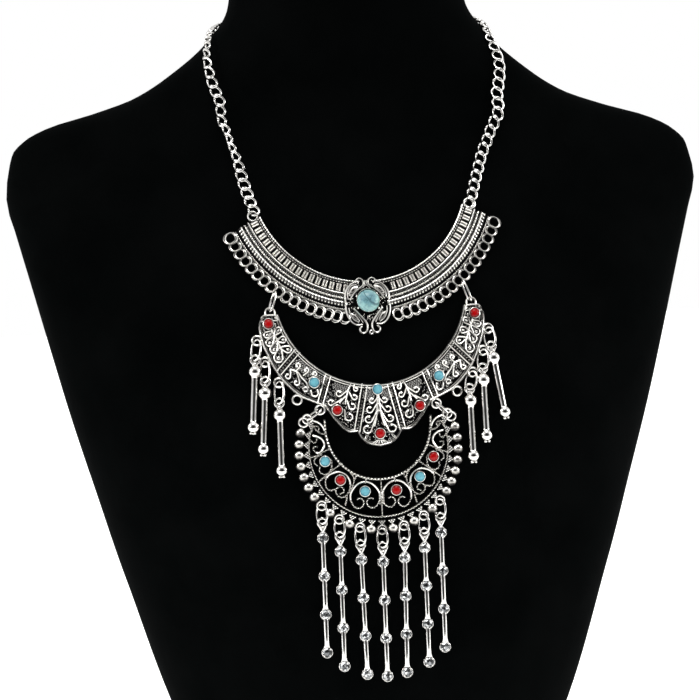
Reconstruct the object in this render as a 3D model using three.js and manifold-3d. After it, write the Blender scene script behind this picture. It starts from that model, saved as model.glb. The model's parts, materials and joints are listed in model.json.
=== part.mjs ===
// A three-tier bib necklace of granulated silver with turquoise, red and clear stones,
// worn by a plain velvet neck bust. Millimetres: +X is the viewer's right, -Y the front, +Z up,
// and the origin lies in the bust's flat base.

import * as THREE from 'three';
import { mergeVertices } from 'three/addons/utils/BufferGeometryUtils.js';
import Module from 'manifold-3d';

const wasm = await Module();
wasm.setup();

// ---- Driving dimensions ----

// Horizontal sections of the bust. front and back are depths from the plane y = 0.
const BUST_SECTIONS = [
  { height: 0, halfWidth: 68, front: 48, back: 43 },
  { height: 3, halfWidth: 70.9, front: 50.6, back: 44.8 },
  { height: 80, halfWidth: 99, front: 60.5, back: 37.7 },
  { height: 114, halfWidth: 109.1, front: 61.5, back: 33.6 },
  { height: 144, halfWidth: 117.8, front: 60.5, back: 30.5 },
  { height: 172, halfWidth: 125.1, front: 55.8, back: 29 },
  { height: 200, halfWidth: 132.2, front: 46, back: 29 },
  { height: 220, halfWidth: 137.3, front: 37.2, back: 29.5 },
  { height: 234, halfWidth: 140.6, front: 31.1, back: 31.2 },
  { height: 250, halfWidth: 137.6, front: 26.6, back: 33.7 },
  { height: 256, halfWidth: 132, front: 25.5, back: 34.9 },
  { height: 261, halfWidth: 122, front: 25, back: 35.8 },
  { height: 266, halfWidth: 104.6, front: 25.1, back: 36.7 },
  { height: 272, halfWidth: 87.5, front: 25.6, back: 37.8 },
  { height: 282, halfWidth: 71.8, front: 26.9, back: 39.5 },
  { height: 294, halfWidth: 58, front: 28.5, back: 40 },
  { height: 308, halfWidth: 48.4, front: 30.4, back: 39.8 },
  { height: 327, halfWidth: 45.3, front: 33.5, back: 38.4 },
  { height: 330, halfWidth: 42, front: 31, back: 35 },
];
const SECTION_POWER = 2.2; // a little squarer than an ellipse
// The shoulders slope down to the right by this share, in full between the two middle heights.
const SHOULDER_SLOPE = 0.016;
const SLOPE_HEIGHTS = { from: 228, full: 248, until: 272, end: 310 };
const BUST_SIDES = 20;

const PLATE_GAP = 1.2; // velvet to the backs of the plates
const LOOP_HEIGHT = 1.0; // mid-plane of a flat loop above the backs of the plates
const SEEN_LIFT = 2.6; // flat work is drawn as it looks from the front at this lift off the velvet
const LOOP = { radius: 1.75, wire: 0.9, sides: 6 }; // soldered loops, to the middle of the wire
const STONE_GAP = 0.3;

// Neck chain: a route given by the turn about the neck, from the front, on each side.
const CHAIN = { radius: 2, sides: 8, steps: 17, gap: 1.2, startGap: 2, claspGap: 0.4 };
const CHAIN_ROUTE = [
  { height: 225.5, left: 16.2, right: 15.9 },
  { height: 237, left: 17.4, right: 17.2 },
  { height: 250, left: 19.5, right: 19.6 },
  { height: 259.5, left: 23, right: 24 },
  { height: 268, left: 31.5, right: 33.5 },
  { height: 275, left: 41.5, right: 44.5 },
  { height: 281, left: 50, right: 54.5 },
  { height: 287, left: 61.5, right: 66 },
  { height: 292.5, left: 75, right: 77 },
  { height: 297, left: 95, right: 95 },
  { height: 300.5, left: 120, right: 120 },
  { height: 302.5, left: 150, right: 150 },
  { height: 303, left: 180, right: 180 },
];
const CLASP = { length: 13, radius: 2.6, sides: 8 };

// Upper crescent: a band about this centre, between two radii, to this angle either side.
const UPPER = { centreZ: 239.4, inner: 43, outer: 55.1, endAngle: 68.4, steps: 20, bed: 1 };
// Ridges across the band: distance from its inner edge, height above its back, and how many
// degrees the ridge ends beyond endAngle.
const UPPER_PROFILE = [
  { across: 0, rise: 1.7, beyond: 0.9 },
  { across: 1.8, rise: 1.7, beyond: 0.9 },
  { across: 2, rise: UPPER.bed, beyond: 0.5 },
  { across: 6.1, rise: UPPER.bed, beyond: 0.4 },
  { across: 6.7, rise: 1.9, beyond: 0.1 },
  { across: 8.4, rise: 1.3, beyond: 0 },
  { across: 9.6, rise: 2.2, beyond: -0.3 },
  { across: 10.7, rise: 1.3, beyond: -0.4 },
  { across: 12.1, rise: 1.4, beyond: -0.6 },
];
const TURRET = { across: 4.1, size: 2.1, length: 1.3, top: 2, root: 0.4, pitch: 3.4, clear: 12 };
const RING_ROW = {
  radius: 57.6, outer: 2.25, hole: 1.6, first: 66.3, pitch: 3.35, count: 18, overlap: 0.4, lean: 32,
};
const HANGER_PLACE = 8; // the ring of the row, counted from its end, that carries the next tier
const END_LOOP = { radius: 45.7, angle: 71.2 };

// Medallion on the upper crescent: a turquoise cabochon among four leaves and four scrolls.
const MEDALLION = { x: -1.1, z: 189.3, seat: 5.3, back: 0.6, front: 2.4, wire: 0.9 };
const MEDALLION_LEAVES = [
  { x: -5.2, z: 3.7, length: 9, width: 4.4, lean: -40 },
  { x: 5.2, z: 3.7, length: 9, width: 4.4, lean: 40 },
  { x: -5.4, z: -5.3, length: 9, width: 4.4, lean: 35 },
  { x: 5.4, z: -5.3, length: 9, width: 4.4, lean: -35 },
];
const MEDALLION_CURLS = [
  { x: -2.4, z: 8.2, radius: 1.3 },
  { x: 2.4, z: 8.2, radius: 1.3 },
  { x: -2.7, z: -10.4, radius: 1.5 },
  { x: 2.7, z: -10.4, radius: 1.5 },
];
const MEDALLION_FORKS = [
  { rootZ: 4.5, tipX: 2, tipZ: 7.2 },
  { rootZ: -4.5, tipX: 2.8, tipZ: -9.4 },
];
const MEDALLION_BALL = { z: -11.6, radius: 1.2 };
const CABOCHON = { radius: 4.6, height: 3.2, sides: 12 };

// Middle crescent: radii about its centre by angle from straight down.
const MIDDLE = { centreZ: 194.4, inner: 37.7, rim: 1.3, step: 0.3, rimTop: 1.9, bed: 1.2 };
const MIDDLE_OUTLINE = [
  { angle: 0, outer: 62 },
  { angle: 3.9, outer: 61.2 },
  { angle: 6.9, outer: 59.3 },
  { angle: 8.9, outer: 56.6 },
  { angle: 11.8, outer: 57.2 },
  { angle: 15.6, outer: 55.9 },
  { angle: 20.6, outer: 52.6 },
  { angle: 24.6, outer: 49.9 },
  { angle: 30, outer: 50.3 },
  { angle: 36.8, outer: 51 },
  { angle: 47, outer: 50.5 },
  { angle: 58, outer: 49.3 },
  { angle: 69.1, outer: 47.6 },
  { angle: 74.4, outer: 46.3 },
  { angle: 77.5, outer: 45 },
];
const MIDDLE_BARS = [
  { fromX: 29.6, fromZ: 171, toX: 37.6, toZ: 163 },
  { fromX: 18.9, fromZ: 161.2, toX: 22.2, toZ: 150.6 },
  { fromX: 4.9, fromZ: 157, toX: 8.8, toZ: 139.4 },
];
const MIDDLE_LEAVES = [
  { x: 38, z: 175, length: 9, width: 3.6, lean: 20 },
  { x: 30.5, z: 161, length: 9, width: 3.8, lean: 62 },
  { x: 15.4, z: 154.5, length: 7, width: 3.2, lean: 30 },
  { x: 10.8, z: 145.5, length: 7, width: 3.4, lean: 15 },
  { x: 3.6, z: 146.5, length: 9, width: 3.2, lean: -14 },
];
const BAR = { width: 2.6, top: 1.8 };
const LEAF_TOP = 1.8;
const SEAT = { radius: 2.1, top: 1.9, sides: 5 };

// Stones set on the crescents. The left and right columns give the colour on each side.
const SMALL_STONE = { radius: 1.85, height: 1.7, sides: 6 };
const MIDDLE_STONES = [
  { x: 40.8, z: 182.3, left: 'red', right: 'red' },
  { x: 24.6, z: 158.7, left: 'turquoise', right: 'turquoise' },
  { x: 16.3, z: 147.5, left: 'red', right: 'red' },
  { x: 0, z: 154.8, left: 'turquoise', right: 'turquoise' },
  { x: 0, z: 137.5, left: 'red', right: 'red' },
];
const LOWER_STONES = [
  { x: 21.4, z: 127.5, left: 'turquoise', right: 'red' },
  { x: 15.7, z: 119.9, left: 'red', right: 'turquoise' },
  { x: 6.2, z: 115.1, left: 'turquoise', right: 'red' },
];

// Loops on the rim of the middle crescent. Three a side carry rod drops.
const MIDDLE_LOOPS = [
  { x: 45.8, z: 176 },
  { x: 43.2, z: 167.5 },
  { x: 38.3, z: 159.3 },
  { x: 31.6, z: 152.3 },
  { x: 22.9, z: 148 },
];
const MIDDLE_TOP_LOOP = { x: 39.8, z: 187.2 };
const MIDDLE_LOW_LOOP = MIDDLE_LOOPS.at(-1); // carries the lower crescent

// Lower crescent: pierced filigree between two wires, with a row of beads outside it.
// A bow is an arc below its centre that goes on straight upwards past the level of the centre.
const LOWER_INNER = { centreZ: 140.2, radius: 20.6, endAngle: 98 };
const LOWER_OUTER = { centreZ: 132.1, radius: 27.2, endAngle: 111 };
const BEAD_ROW = { centreZ: 131.2, radius: 31.4, pitch: 8, bead: 1.95 };
const LOWER = { wire: 1.2, back: 0.3, front: 1.7, steps: 18 };
const BEAD_TOOTH = 1.3; // from a bead's centre to the tip of the tooth of wire that holds it
const DROP_PLACES = [0, 2, 4, 6]; // along the bead row, each carrying a long drop
const LAST_PLACE = 14; // a loop too; the other places carry beads
const LOWER_TOP_LOOP = { x: 27.6, z: 144.2 };
// Ram's-horn scrolls: centre, size of the arch, and the way that the open side points.
const SCROLLS = [
  { x: 6.2, z: 114.6, radius: 4.7, lean: 10 },
  { x: 15.8, z: 119.6, radius: 4.6, lean: 35 },
  { x: 21.8, z: 127.2, radius: 3.7, lean: 62 },
  { x: 23.7, z: 134.6, radius: 3.1, lean: 85 },
];
// Half of a scroll in shares of its radius, from the end of its curl to the top of its arch.
const SCROLL_LINE = [
  { across: 0.12, up: -0.15 },
  { across: 0.65, up: -0.9 },
  { across: 1.05, up: -0.1 },
  { across: 0.7, up: 0.7 },
];
const SCROLL_WIRE = 0.9;
const LOWER_END_RING = { x: 23.9, z: 141, radius: 2.75 };
// Bars across the filigree, from the inner wire to the outer one.
const LOWER_BARS = [
  { fromX: 10.3, fromZ: 123, toX: 13.4, toZ: 109, width: 1.3 },
  { fromX: 15.6, fromZ: 126.6, toX: 23.4, toZ: 118.4, width: 1 },
  { fromX: 19.2, fromZ: 132.2, toX: 27, toZ: 130, width: 1 },
];
const CENTRE_BAR = { fromZ: 120.4, toZ: 104.5, width: 1.6 };

// Rings that link the tiers and the drops. turn is the spin of a ring about its long way.
const JUMP_RING = { radius: 2, wire: 0.7, turn: -55 };
const HANGER_RING = { radius: 1.7, wire: 0.7, turn: 80 };
const RING_SIDES = { section: 3, around: 6 };
const RING_REACH = 0.3; // past the middle of each loop

// Rod drops under the middle crescent: distances down from the top ring, radii, and lift of the
// axis above the velvet. Each row of the table has a drop's top ring and its outward lean.
const ROD_DROP = {
  topBead: 4.7, lowBead: 26.4, tip: 29.7, topRadius: 2.6, lowRadius: 2.4, rod: 1.4, lift: 3.6, sides: 6,
};
const ROD_DROPS = [
  { side: 'left', number: 1, x: -46.6, z: 168.2, lean: -4.3 },
  { side: 'left', number: 2, x: -43.1, z: 159.8, lean: -4 },
  { side: 'left', number: 3, x: -38.1, z: 151.6, lean: -0.3 },
  { side: 'right', number: 1, x: 47.3, z: 169, lean: 8.7 },
  { side: 'right', number: 2, x: 43.3, z: 160.6, lean: 0.5 },
  { side: 'right', number: 3, x: 37.9, z: 152.6, lean: 0.6 },
];

// Long drops under the lower crescent: four round crystals on a flat rod, hung upright.
const LONG_DROP = { link: 6.8, first: 6, pitch: 15, stones: 4, stone: 2.1, rod: 1.15, thick: 2.2 };
const LONG_DROP_SWAY = { 0: 0, 2: -0.8, 4: 0.1, 6: 0 }; // outward, from top to bottom, by place

// ---- Materials ----

const FINISHES = {
  silver: { color: 0xb9b7b0, metalness: 0.9, roughness: 0.35 },
  velvet: { color: 0x0a0a0b, metalness: 0, roughness: 1 },
  cabochon: { color: 0x8fc2c4, metalness: 0, roughness: 0.3 },
  red: { color: 0xb3202a, metalness: 0, roughness: 0.3 },
  turquoise: { color: 0x6fb6cf, metalness: 0, roughness: 0.35 },
};

// ---- The bust's surface ----

// Smooth curve through a column of the sections, with no overshoot (limited slopes).
function sectionValue(column, height) {
  const rows = BUST_SECTIONS;
  const last = rows.length - 1;
  let i = 0;
  while (i < last - 1 && height > rows[i + 1].height) i++;
  const slope = (k) => (rows[k + 1][column] - rows[k][column]) / (rows[k + 1].height - rows[k].height);
  const tangent = (k) => {
    if (k === 0) return slope(0);
    if (k === last) return slope(last - 1);
    const before = slope(k - 1);
    const after = slope(k);
    return before * after <= 0 ? 0 : (2 * before * after) / (before + after);
  };
  const span = rows[i + 1].height - rows[i].height;
  const t = THREE.MathUtils.clamp((height - rows[i].height) / span, 0, 1);
  const [a, b] = [rows[i][column], rows[i + 1][column]];
  return a * (1 + 2 * t) * (1 - t) ** 2 + b * t * t * (3 - 2 * t)
    + span * (tangent(i) * t * (1 - t) ** 2 - tangent(i + 1) * t * t * (1 - t));
}

const signedPower = (value, power) => Math.sign(value) * Math.abs(value) ** power;

function shoulderSlope(height) {
  const { from, full, until, end } = SLOPE_HEIGHTS;
  const { smoothstep } = THREE.MathUtils;
  return SHOULDER_SLOPE * smoothstep(height, from, full) * (1 - smoothstep(height, until, end));
}

// Point of the bust at a turn in degrees from the front, positive to the right.
function bustPoint(turn, height) {
  const angle = THREE.MathUtils.degToRad(turn);
  const depth = sectionValue(Math.cos(angle) >= 0 ? 'front' : 'back', height);
  const x = sectionValue('halfWidth', height) * signedPower(Math.sin(angle), 2 / SECTION_POWER);
  const y = -depth * signedPower(Math.cos(angle), 2 / SECTION_POWER);
  return new THREE.Vector3(x, y, height - x * shoulderSlope(height));
}

// Axes of the bust's skin: to the right, inwards and up, as a piece modelled from the front has.
function skinAxes(turn, height) {
  const right = bustPoint(turn + 0.5, height).sub(bustPoint(turn - 0.5, height)).normalize();
  const rise = bustPoint(turn, height + 1).sub(bustPoint(turn, height - 1));
  const inward = new THREE.Vector3().crossVectors(rise, right).normalize();
  const up = new THREE.Vector3().crossVectors(right, inward);
  return { right, inward, up };
}

function onBust(turn, height, lift) {
  return bustPoint(turn, height).addScaledVector(skinAxes(turn, height).inward, -lift);
}

// The turn at which the chest has this x.
function turnAt(x, height) {
  const share = Math.min(Math.abs(x) / sectionValue('halfWidth', height), 1);
  return THREE.MathUtils.radToDeg(Math.asin(share ** (SECTION_POWER / 2))) * Math.sign(x);
}

// The turn and height of the skin behind a place of the flat work.
function behind(x, z) {
  const { inward } = skinAxes(turnAt(x, z), z);
  const height = z + inward.z * SEEN_LIFT;
  return { turn: turnAt(x + inward.x * SEEN_LIFT, height), height };
}

function onChest(x, z, lift) {
  const { turn, height } = behind(x, z);
  return onBust(turn, height, lift);
}

function chestAxes(x, z) {
  const { turn, height } = behind(x, z);
  return skinAxes(turn, height);
}

// ---- Solids and flat patterns ----

// A flat pattern lies in the front plane: x to the right, z up, and its thickness towards -Y.
// Its points are [x, z]. Its angles run from straight down, positive to the right.

function polar(centreX, centreZ, radius, angle) {
  const turn = THREE.MathUtils.degToRad(angle);
  return [centreX + radius * Math.sin(turn), centreZ - radius * Math.cos(turn)];
}

// An even list of values from one end to the other.
function spread(from, to, steps) {
  return Array.from({ length: steps + 1 }, (_, i) => from + ((to - from) * i) / steps);
}

function arcPoints(x, z, radius, from, to, steps) {
  return spread(from, to, steps).map((angle) => polar(x, z, radius, angle));
}

function polygonPoints(x, z, radius, sides, start = 0) {
  return arcPoints(x, z, radius, start, start + 360 - 360 / sides, sides - 1);
}

function plate(outline, holes, back, front) {
  const toVectors = (points) => points.map(([x, z]) => new THREE.Vector2(x, z));
  const shape = new THREE.Shape(toVectors(outline));
  shape.holes = holes.map((hole) => new THREE.Path(toVectors(hole)));
  const geometry = new THREE.ExtrudeGeometry(shape, { depth: front - back, bevelEnabled: false });
  return geometry.translate(0, 0, back).rotateX(Math.PI / 2);
}

// A strip of even width along a line of points.
function strip(points, width, back, front) {
  const side = (sign) => points.map(([x, z], i) => {
    const [beforeX, beforeZ] = points[Math.max(i - 1, 0)];
    const [afterX, afterZ] = points[Math.min(i + 1, points.length - 1)];
    const reach = (sign * width) / 2 / Math.hypot(afterX - beforeX, afterZ - beforeZ);
    return [x - (afterZ - beforeZ) * reach, z + (afterX - beforeX) * reach];
  });
  return plate([...side(1), ...side(-1).reverse()], [], back, front);
}

function flatRing(x, z, radius, wire, middle) {
  const outline = polygonPoints(x, z, radius + wire / 2, LOOP.sides);
  const hole = polygonPoints(x, z, radius - wire / 2, LOOP.sides);
  return plate(outline, [hole], middle - wire / 2, middle + wire / 2);
}

const loop = (x, z) => flatRing(x, z, LOOP.radius, LOOP.wire, LOOP_HEIGHT);

function leaf({ x, z, length, width, lean }, back, front) {
  const angle = THREE.MathUtils.degToRad(lean);
  const corner = (along, across) => [
    x + along * length * Math.sin(angle) + across * width * Math.cos(angle),
    z + along * length * Math.cos(angle) - across * width * Math.sin(angle),
  ];
  const sides = [corner(0.5, 0), corner(0.2, 0.45), corner(-0.2, 0.45)];
  const otherSides = [corner(-0.5, 0), corner(-0.2, -0.45), corner(0.2, -0.45)];
  return plate([...sides, ...otherSides], [], back, front);
}

const ball = (x, z, radius, height) => new THREE.IcosahedronGeometry(radius, 0).translate(x, -height, z);

function toSolid(geometry) {
  const bare = geometry.clone();
  bare.deleteAttribute('normal');
  bare.deleteAttribute('uv');
  const merged = mergeVertices(bare, 1e-4);
  const mesh = new wasm.Mesh({
    numProp: 3,
    vertProperties: new Float32Array(merged.attributes.position.array),
    triVerts: new Uint32Array(merged.index.array),
  });
  return new wasm.Manifold(mesh);
}

function toGeometry(solid) {
  const { vertProperties, triVerts } = solid.getMesh();
  const geometry = new THREE.BufferGeometry();
  geometry.setAttribute('position', new THREE.Float32BufferAttribute(vertProperties, 3));
  geometry.setIndex(Array.from(triVerts));
  return geometry;
}

// Solders pieces into one solid.
const join = (pieces) => toGeometry(pieces.map(toSolid).reduce((sum, part) => sum.add(part)));

// Cuts holes through a plate.
function pierce(base, holes) {
  return toGeometry(holes.map(toSolid).reduce((rest, hole) => rest.subtract(hole), toSolid(base)));
}

function moveVertices(geometry, place) {
  const position = geometry.attributes.position;
  const point = new THREE.Vector3();
  for (let i = 0; i < position.count; i++) {
    place(point.fromBufferAttribute(position, i)).toArray(position.array, i * 3);
  }
  return geometry;
}

// Lays a flat pattern on the chest, its back clear of the velvet.
const drape = (geometry) => moveVertices(geometry, ({ x, y, z }) => onChest(x, z, PLATE_GAP - y));

// A band about a centre. profile(angle) lists its top from the inner edge to the outer one:
// across from the inner edge, rise, and turn about the centre. It starts as a straight bar.
function band(centreZ, inner, angles, profile) {
  const steps = angles.length - 1;
  const start = profile(angles[0]);
  const top = start.map(({ across, rise }) => new THREE.Vector2(across, rise));
  const end = new THREE.Shape([new THREE.Vector2(top.at(-1).x, 0), new THREE.Vector2(0, 0), ...top]);
  const bar = new THREE.ExtrudeGeometry(end, { depth: steps, steps, bevelEnabled: false });
  return moveVertices(bar, ({ x, y, z }) => {
    const column = start.findIndex((row) => Math.abs(row.across - x) < 1e-3);
    const { across, rise, turn } = profile(angles[steps - Math.round(z)])[column];
    const [bandX, bandZ] = polar(0, centreZ, inner + across, turn);
    return new THREE.Vector3(bandX, y > 0 ? -rise : 0, bandZ);
  });
}

// ---- Bust, chain and clasp ----

function bustGeometry() {
  const rows = BUST_SECTIONS.length - 1;
  const barrel = new THREE.CylinderGeometry(1, 1, rows, BUST_SIDES, rows);
  return moveVertices(barrel, ({ x, y, z }) => {
    const { height } = BUST_SECTIONS[Math.round(y + rows / 2)];
    if (Math.hypot(x, z) < 0.5) return new THREE.Vector3(0, 0, height);
    return bustPoint(THREE.MathUtils.radToDeg(Math.atan2(x, z)), height);
  });
}

// The stretch of the chain's route from its end loop to the clasp, as one tube.
function chainGeometry(side) {
  const sign = side === 'left' ? -1 : 1;
  const { radius, sides, steps, gap } = CHAIN;
  const lift = radius + gap;
  const route = CHAIN_ROUTE.map((row) => onBust(sign * row[side], row.height, lift));
  const path = new THREE.CatmullRomCurve3(route);
  const length = path.getLength();
  const end = length - CLASP.length / 2 - CHAIN.claspGap;
  const stretch = spread(CHAIN.startGap, end, steps).map((along) => path.getPointAt(along / length));
  const section = polygonPoints(0, 0, radius, sides).map(([x, y]) => new THREE.Vector2(x, y));
  const extrudePath = new THREE.CatmullRomCurve3(stretch);
  return new THREE.ExtrudeGeometry(new THREE.Shape(section), { steps, extrudePath });
}

function claspMesh() {
  const barrel = new THREE.CylinderGeometry(CLASP.radius, CLASP.radius, CLASP.length, CLASP.sides);
  const mesh = piece('clasp', barrel.rotateZ(Math.PI / 2), 'silver');
  mesh.position.copy(onBust(180, CHAIN_ROUTE.at(-1).height, CLASP.radius + CHAIN.gap));
  return mesh;
}

// ---- Upper crescent ----

function upperBand() {
  const angles = spread(-UPPER.endAngle, UPPER.endAngle, UPPER.steps);
  const profile = (angle) => UPPER_PROFILE.map(({ across, rise, beyond }) => {
    const extra = Math.abs(angle) === UPPER.endAngle ? Math.sign(angle) * beyond : 0;
    return { across, rise, turn: angle + extra };
  });
  return band(UPPER.centreZ, UPPER.inner, angles, profile);
}

// Square turrets along the band, left out behind the medallion.
function turrets() {
  const radius = UPPER.inner + TURRET.across;
  const pitch = THREE.MathUtils.radToDeg(TURRET.pitch / radius);
  const count = Math.floor((UPPER.endAngle - TURRET.clear) / pitch);
  const height = TURRET.top - UPPER.bed + TURRET.root;
  return [-1, 1].flatMap((sign) => spread(0.5, count - 0.5, count - 1).map((i) => {
    const angle = sign * (TURRET.clear + i * pitch);
    const [x, z] = polar(0, UPPER.centreZ, radius, angle);
    const box = new THREE.BoxGeometry(TURRET.length, height, TURRET.size);
    return box.rotateY(-THREE.MathUtils.degToRad(angle)).translate(x, height / 2 - TURRET.top, z);
  }));
}

// The row of overlapping rings along the lower edge, as one scalloped strip with a hole in each.
function ringRow(sign) {
  const { radius, outer, hole, first, pitch, count, overlap, lean } = RING_ROW;
  const angles = spread(first, first - pitch * (count - 1), count - 1);
  const last = angles.at(-1);
  const innerEdge = arcPoints(0, UPPER.centreZ, UPPER.outer - overlap, last - 1.5, first + 1.5, 8);
  const centres = angles.map((angle) => [...polar(0, UPPER.centreZ, radius, angle), angle]);
  const scallop = ([x, z, angle]) => [lean, -lean].map((turn) => polar(x, z, outer, angle + turn));
  const outline = [...innerEdge, ...centres.flatMap(scallop)].map(([x, z]) => [sign * x, z]);
  const slab = (points, half) => plate(points, [], LOOP_HEIGHT - half, LOOP_HEIGHT + half);
  const holes = centres.map(([x, z, angle]) => polygonPoints(sign * x, z, hole, 4, sign * angle + 45));
  return pierce(slab(outline, LOOP.wire / 2), holes.map((points) => slab(points, LOOP.wire)));
}

function medallion() {
  const { x, z, seat, back, front, wire } = MEDALLION;
  const pieces = [plate(polygonPoints(x, z, seat, 10), [], back, front)];
  for (const row of MEDALLION_LEAVES) {
    pieces.push(leaf({ ...row, x: x + row.x, z: z + row.z }, back, front));
  }
  for (const row of MEDALLION_CURLS) {
    pieces.push(flatRing(x + row.x, z + row.z, row.radius, wire, (back + front) / 2));
  }
  for (const { rootZ, tipX, tipZ } of MEDALLION_FORKS) {
    const line = [[x - tipX, z + tipZ], [x, z + rootZ], [x + tipX, z + tipZ]];
    pieces.push(strip(line, wire, back, front));
  }
  pieces.push(ball(x, z + MEDALLION_BALL.z, MEDALLION_BALL.radius, (back + front) / 2));
  return pieces;
}

function upperCrescent() {
  const { radius, angle } = END_LOOP;
  const ends = [-1, 1].map((sign) => loop(...polar(0, UPPER.centreZ, radius, sign * angle)));
  return drape(join([upperBand(), ...turrets(), ringRow(1), ringRow(-1), ...medallion(), ...ends]));
}

// ---- Middle crescent ----

function middleBand() {
  const { inner, rim, step, rimTop, bed } = MIDDLE;
  const right = MIDDLE_OUTLINE.map((row) => row.angle);
  const left = right.slice(1).map((angle) => -angle).reverse();
  return band(MIDDLE.centreZ, inner, [...left, ...right], (turn) => {
    const { outer } = MIDDLE_OUTLINE.find((row) => row.angle === Math.abs(turn));
    const width = outer - inner;
    return [
      { across: 0, rise: rimTop, turn },
      { across: rim, rise: rimTop, turn },
      { across: rim + step, rise: bed, turn },
      { across: width - rim - step, rise: bed, turn },
      { across: width - rim, rise: rimTop, turn },
      { across: width, rise: rimTop, turn },
    ];
  });
}

function middleCrescent() {
  const root = MIDDLE.bed - 0.4;
  const pieces = [middleBand()];
  for (const sign of [-1, 1]) {
    for (const { fromX, fromZ, toX, toZ } of MIDDLE_BARS) {
      pieces.push(strip([[sign * fromX, fromZ], [sign * toX, toZ]], BAR.width, root, BAR.top));
    }
    for (const row of MIDDLE_LEAVES) {
      pieces.push(leaf({ ...row, x: sign * row.x, lean: sign * row.lean }, root, LEAF_TOP));
    }
    for (const { x, z } of [...MIDDLE_LOOPS, MIDDLE_TOP_LOOP]) pieces.push(loop(sign * x, z));
  }
  for (const { x, z } of bothSides(MIDDLE_STONES)) {
    pieces.push(plate(polygonPoints(x, z, SEAT.radius, SEAT.sides), [], root, SEAT.top));
  }
  return drape(join(pieces));
}

// ---- Lower crescent ----

// A point of a bow: round below the level of its centre, and straight up above it.
function bowPoint({ centreZ, radius }, angle) {
  const past = THREE.MathUtils.degToRad(Math.max(Math.abs(angle) - 90, 0));
  const [x, z] = polar(0, centreZ, radius, THREE.MathUtils.clamp(angle, -90, 90));
  return [x, z + radius * past];
}

function bowWire(bow) {
  const line = spread(-bow.endAngle, bow.endAngle, LOWER.steps).map((angle) => bowPoint(bow, angle));
  return strip(line, LOWER.wire, LOWER.back, LOWER.front);
}

// The outer wire, with a tooth reaching out at each place of the bead row.
function toothedWire() {
  const offset = (bow, change) => ({ ...bow, radius: bow.radius + change });
  const end = LAST_PLACE * BEAD_ROW.pitch;
  const inside = offset(LOWER_OUTER, -LOWER.wire / 2);
  const valley = offset(LOWER_OUTER, LOWER.wire / 2);
  const tip = offset(BEAD_ROW, -BEAD_TOOTH);
  const outline = spread(-end, end, LOWER.steps).map((angle) => bowPoint(inside, angle));
  for (const half of spread(2 * LAST_PLACE, -2 * LAST_PLACE, 4 * LAST_PLACE)) {
    outline.push(bowPoint(half % 2 ? valley : tip, (half * BEAD_ROW.pitch) / 2));
  }
  return plate(outline, [], LOWER.back, LOWER.front);
}

// A ram's-horn scroll: an arch over the stone whose two ends curl in below it.
function scroll({ x, z, radius, lean }, sign) {
  const angle = THREE.MathUtils.degToRad(lean);
  const right = SCROLL_LINE.map(({ across, up }) => [across, up]);
  const left = right.map(([across, up]) => [-across, up]).reverse();
  const line = [...right, [0, 1], ...left].map(([across, up]) => [
    sign * (x + radius * (across * Math.cos(angle) - up * Math.sin(angle))),
    z + radius * (across * Math.sin(angle) + up * Math.cos(angle)),
  ]);
  return strip(line, SCROLL_WIRE, LOWER.back, LOWER.front);
}

// What the bead row has at one place: a loop for a drop, or a bead.
function rowPiece(place) {
  const [x, z] = bowPoint(BEAD_ROW, place * BEAD_ROW.pitch);
  const isLoop = [...DROP_PLACES, LAST_PLACE].includes(Math.abs(place));
  return isLoop ? loop(x, z) : ball(x, z, BEAD_ROW.bead, LOOP_HEIGHT);
}

function lowerCrescent() {
  const bar = (line, width) => strip(line, width, LOWER.back, LOWER.front);
  const centreBar = bar([[0, CENTRE_BAR.fromZ], [0, CENTRE_BAR.toZ]], CENTRE_BAR.width);
  const pieces = [bowWire(LOWER_INNER), toothedWire(), centreBar];
  for (const sign of [-1, 1]) {
    for (const row of SCROLLS) pieces.push(scroll(row, sign));
    for (const { fromX, fromZ, toX, toZ, width } of LOWER_BARS) {
      pieces.push(bar([[sign * fromX, fromZ], [sign * toX, toZ]], width));
    }
    const { x, z, radius } = LOWER_END_RING;
    pieces.push(flatRing(sign * x, z, radius, SCROLL_WIRE, (LOWER.back + LOWER.front) / 2));
    pieces.push(loop(sign * LOWER_TOP_LOOP.x, LOWER_TOP_LOOP.z));
  }
  pieces.push(...spread(-LAST_PLACE, LAST_PLACE, 2 * LAST_PLACE).map(rowPiece));
  for (const { x, z } of bothSides(LOWER_STONES)) {
    pieces.push(plate(polygonPoints(x, z, SMALL_STONE.radius, SEAT.sides), [], LOWER.back, LOWER.front));
  }
  return drape(join(pieces));
}

// ---- Stones, rings and drops ----

function piece(name, geometry, finish) {
  const mesh = new THREE.Mesh(geometry, new THREE.MeshStandardMaterial(FINISHES[finish]));
  mesh.name = name;
  return mesh;
}

// A table's rows on the right and mirrored on the left, with the colour of each side.
function bothSides(rows) {
  const right = rows.map((row) => ({ ...row, finish: row.right }));
  const left = rows.filter((row) => row.x !== 0).map((row) => ({ ...row, x: -row.x, finish: row.left }));
  return [...left.reverse(), ...right];
}

// A domed stone on its flat back, its top towards -Y.
function stoneMesh(name, { x, z, lift, radius, height, sides, finish }) {
  const profile = [[0, 0], [radius, 0], [radius * 0.75, height * 0.7], [0, height]];
  const dome = new THREE.LatheGeometry(profile.map(([px, py]) => new THREE.Vector2(px, py)), sides);
  const mesh = piece(name, dome.rotateX(Math.PI), finish);
  const { right, inward, up } = chestAxes(x, z);
  mesh.setRotationFromMatrix(new THREE.Matrix4().makeBasis(right, inward, up));
  mesh.position.copy(onChest(x, z, lift));
  return mesh;
}

function smallStones(name, rows, top) {
  const lift = PLATE_GAP + top + STONE_GAP;
  const stone = (row, i) => stoneMesh(`${name}_${i + 1}`, { ...row, ...SMALL_STONE, lift });
  return bothSides(rows).map(stone);
}

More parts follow.
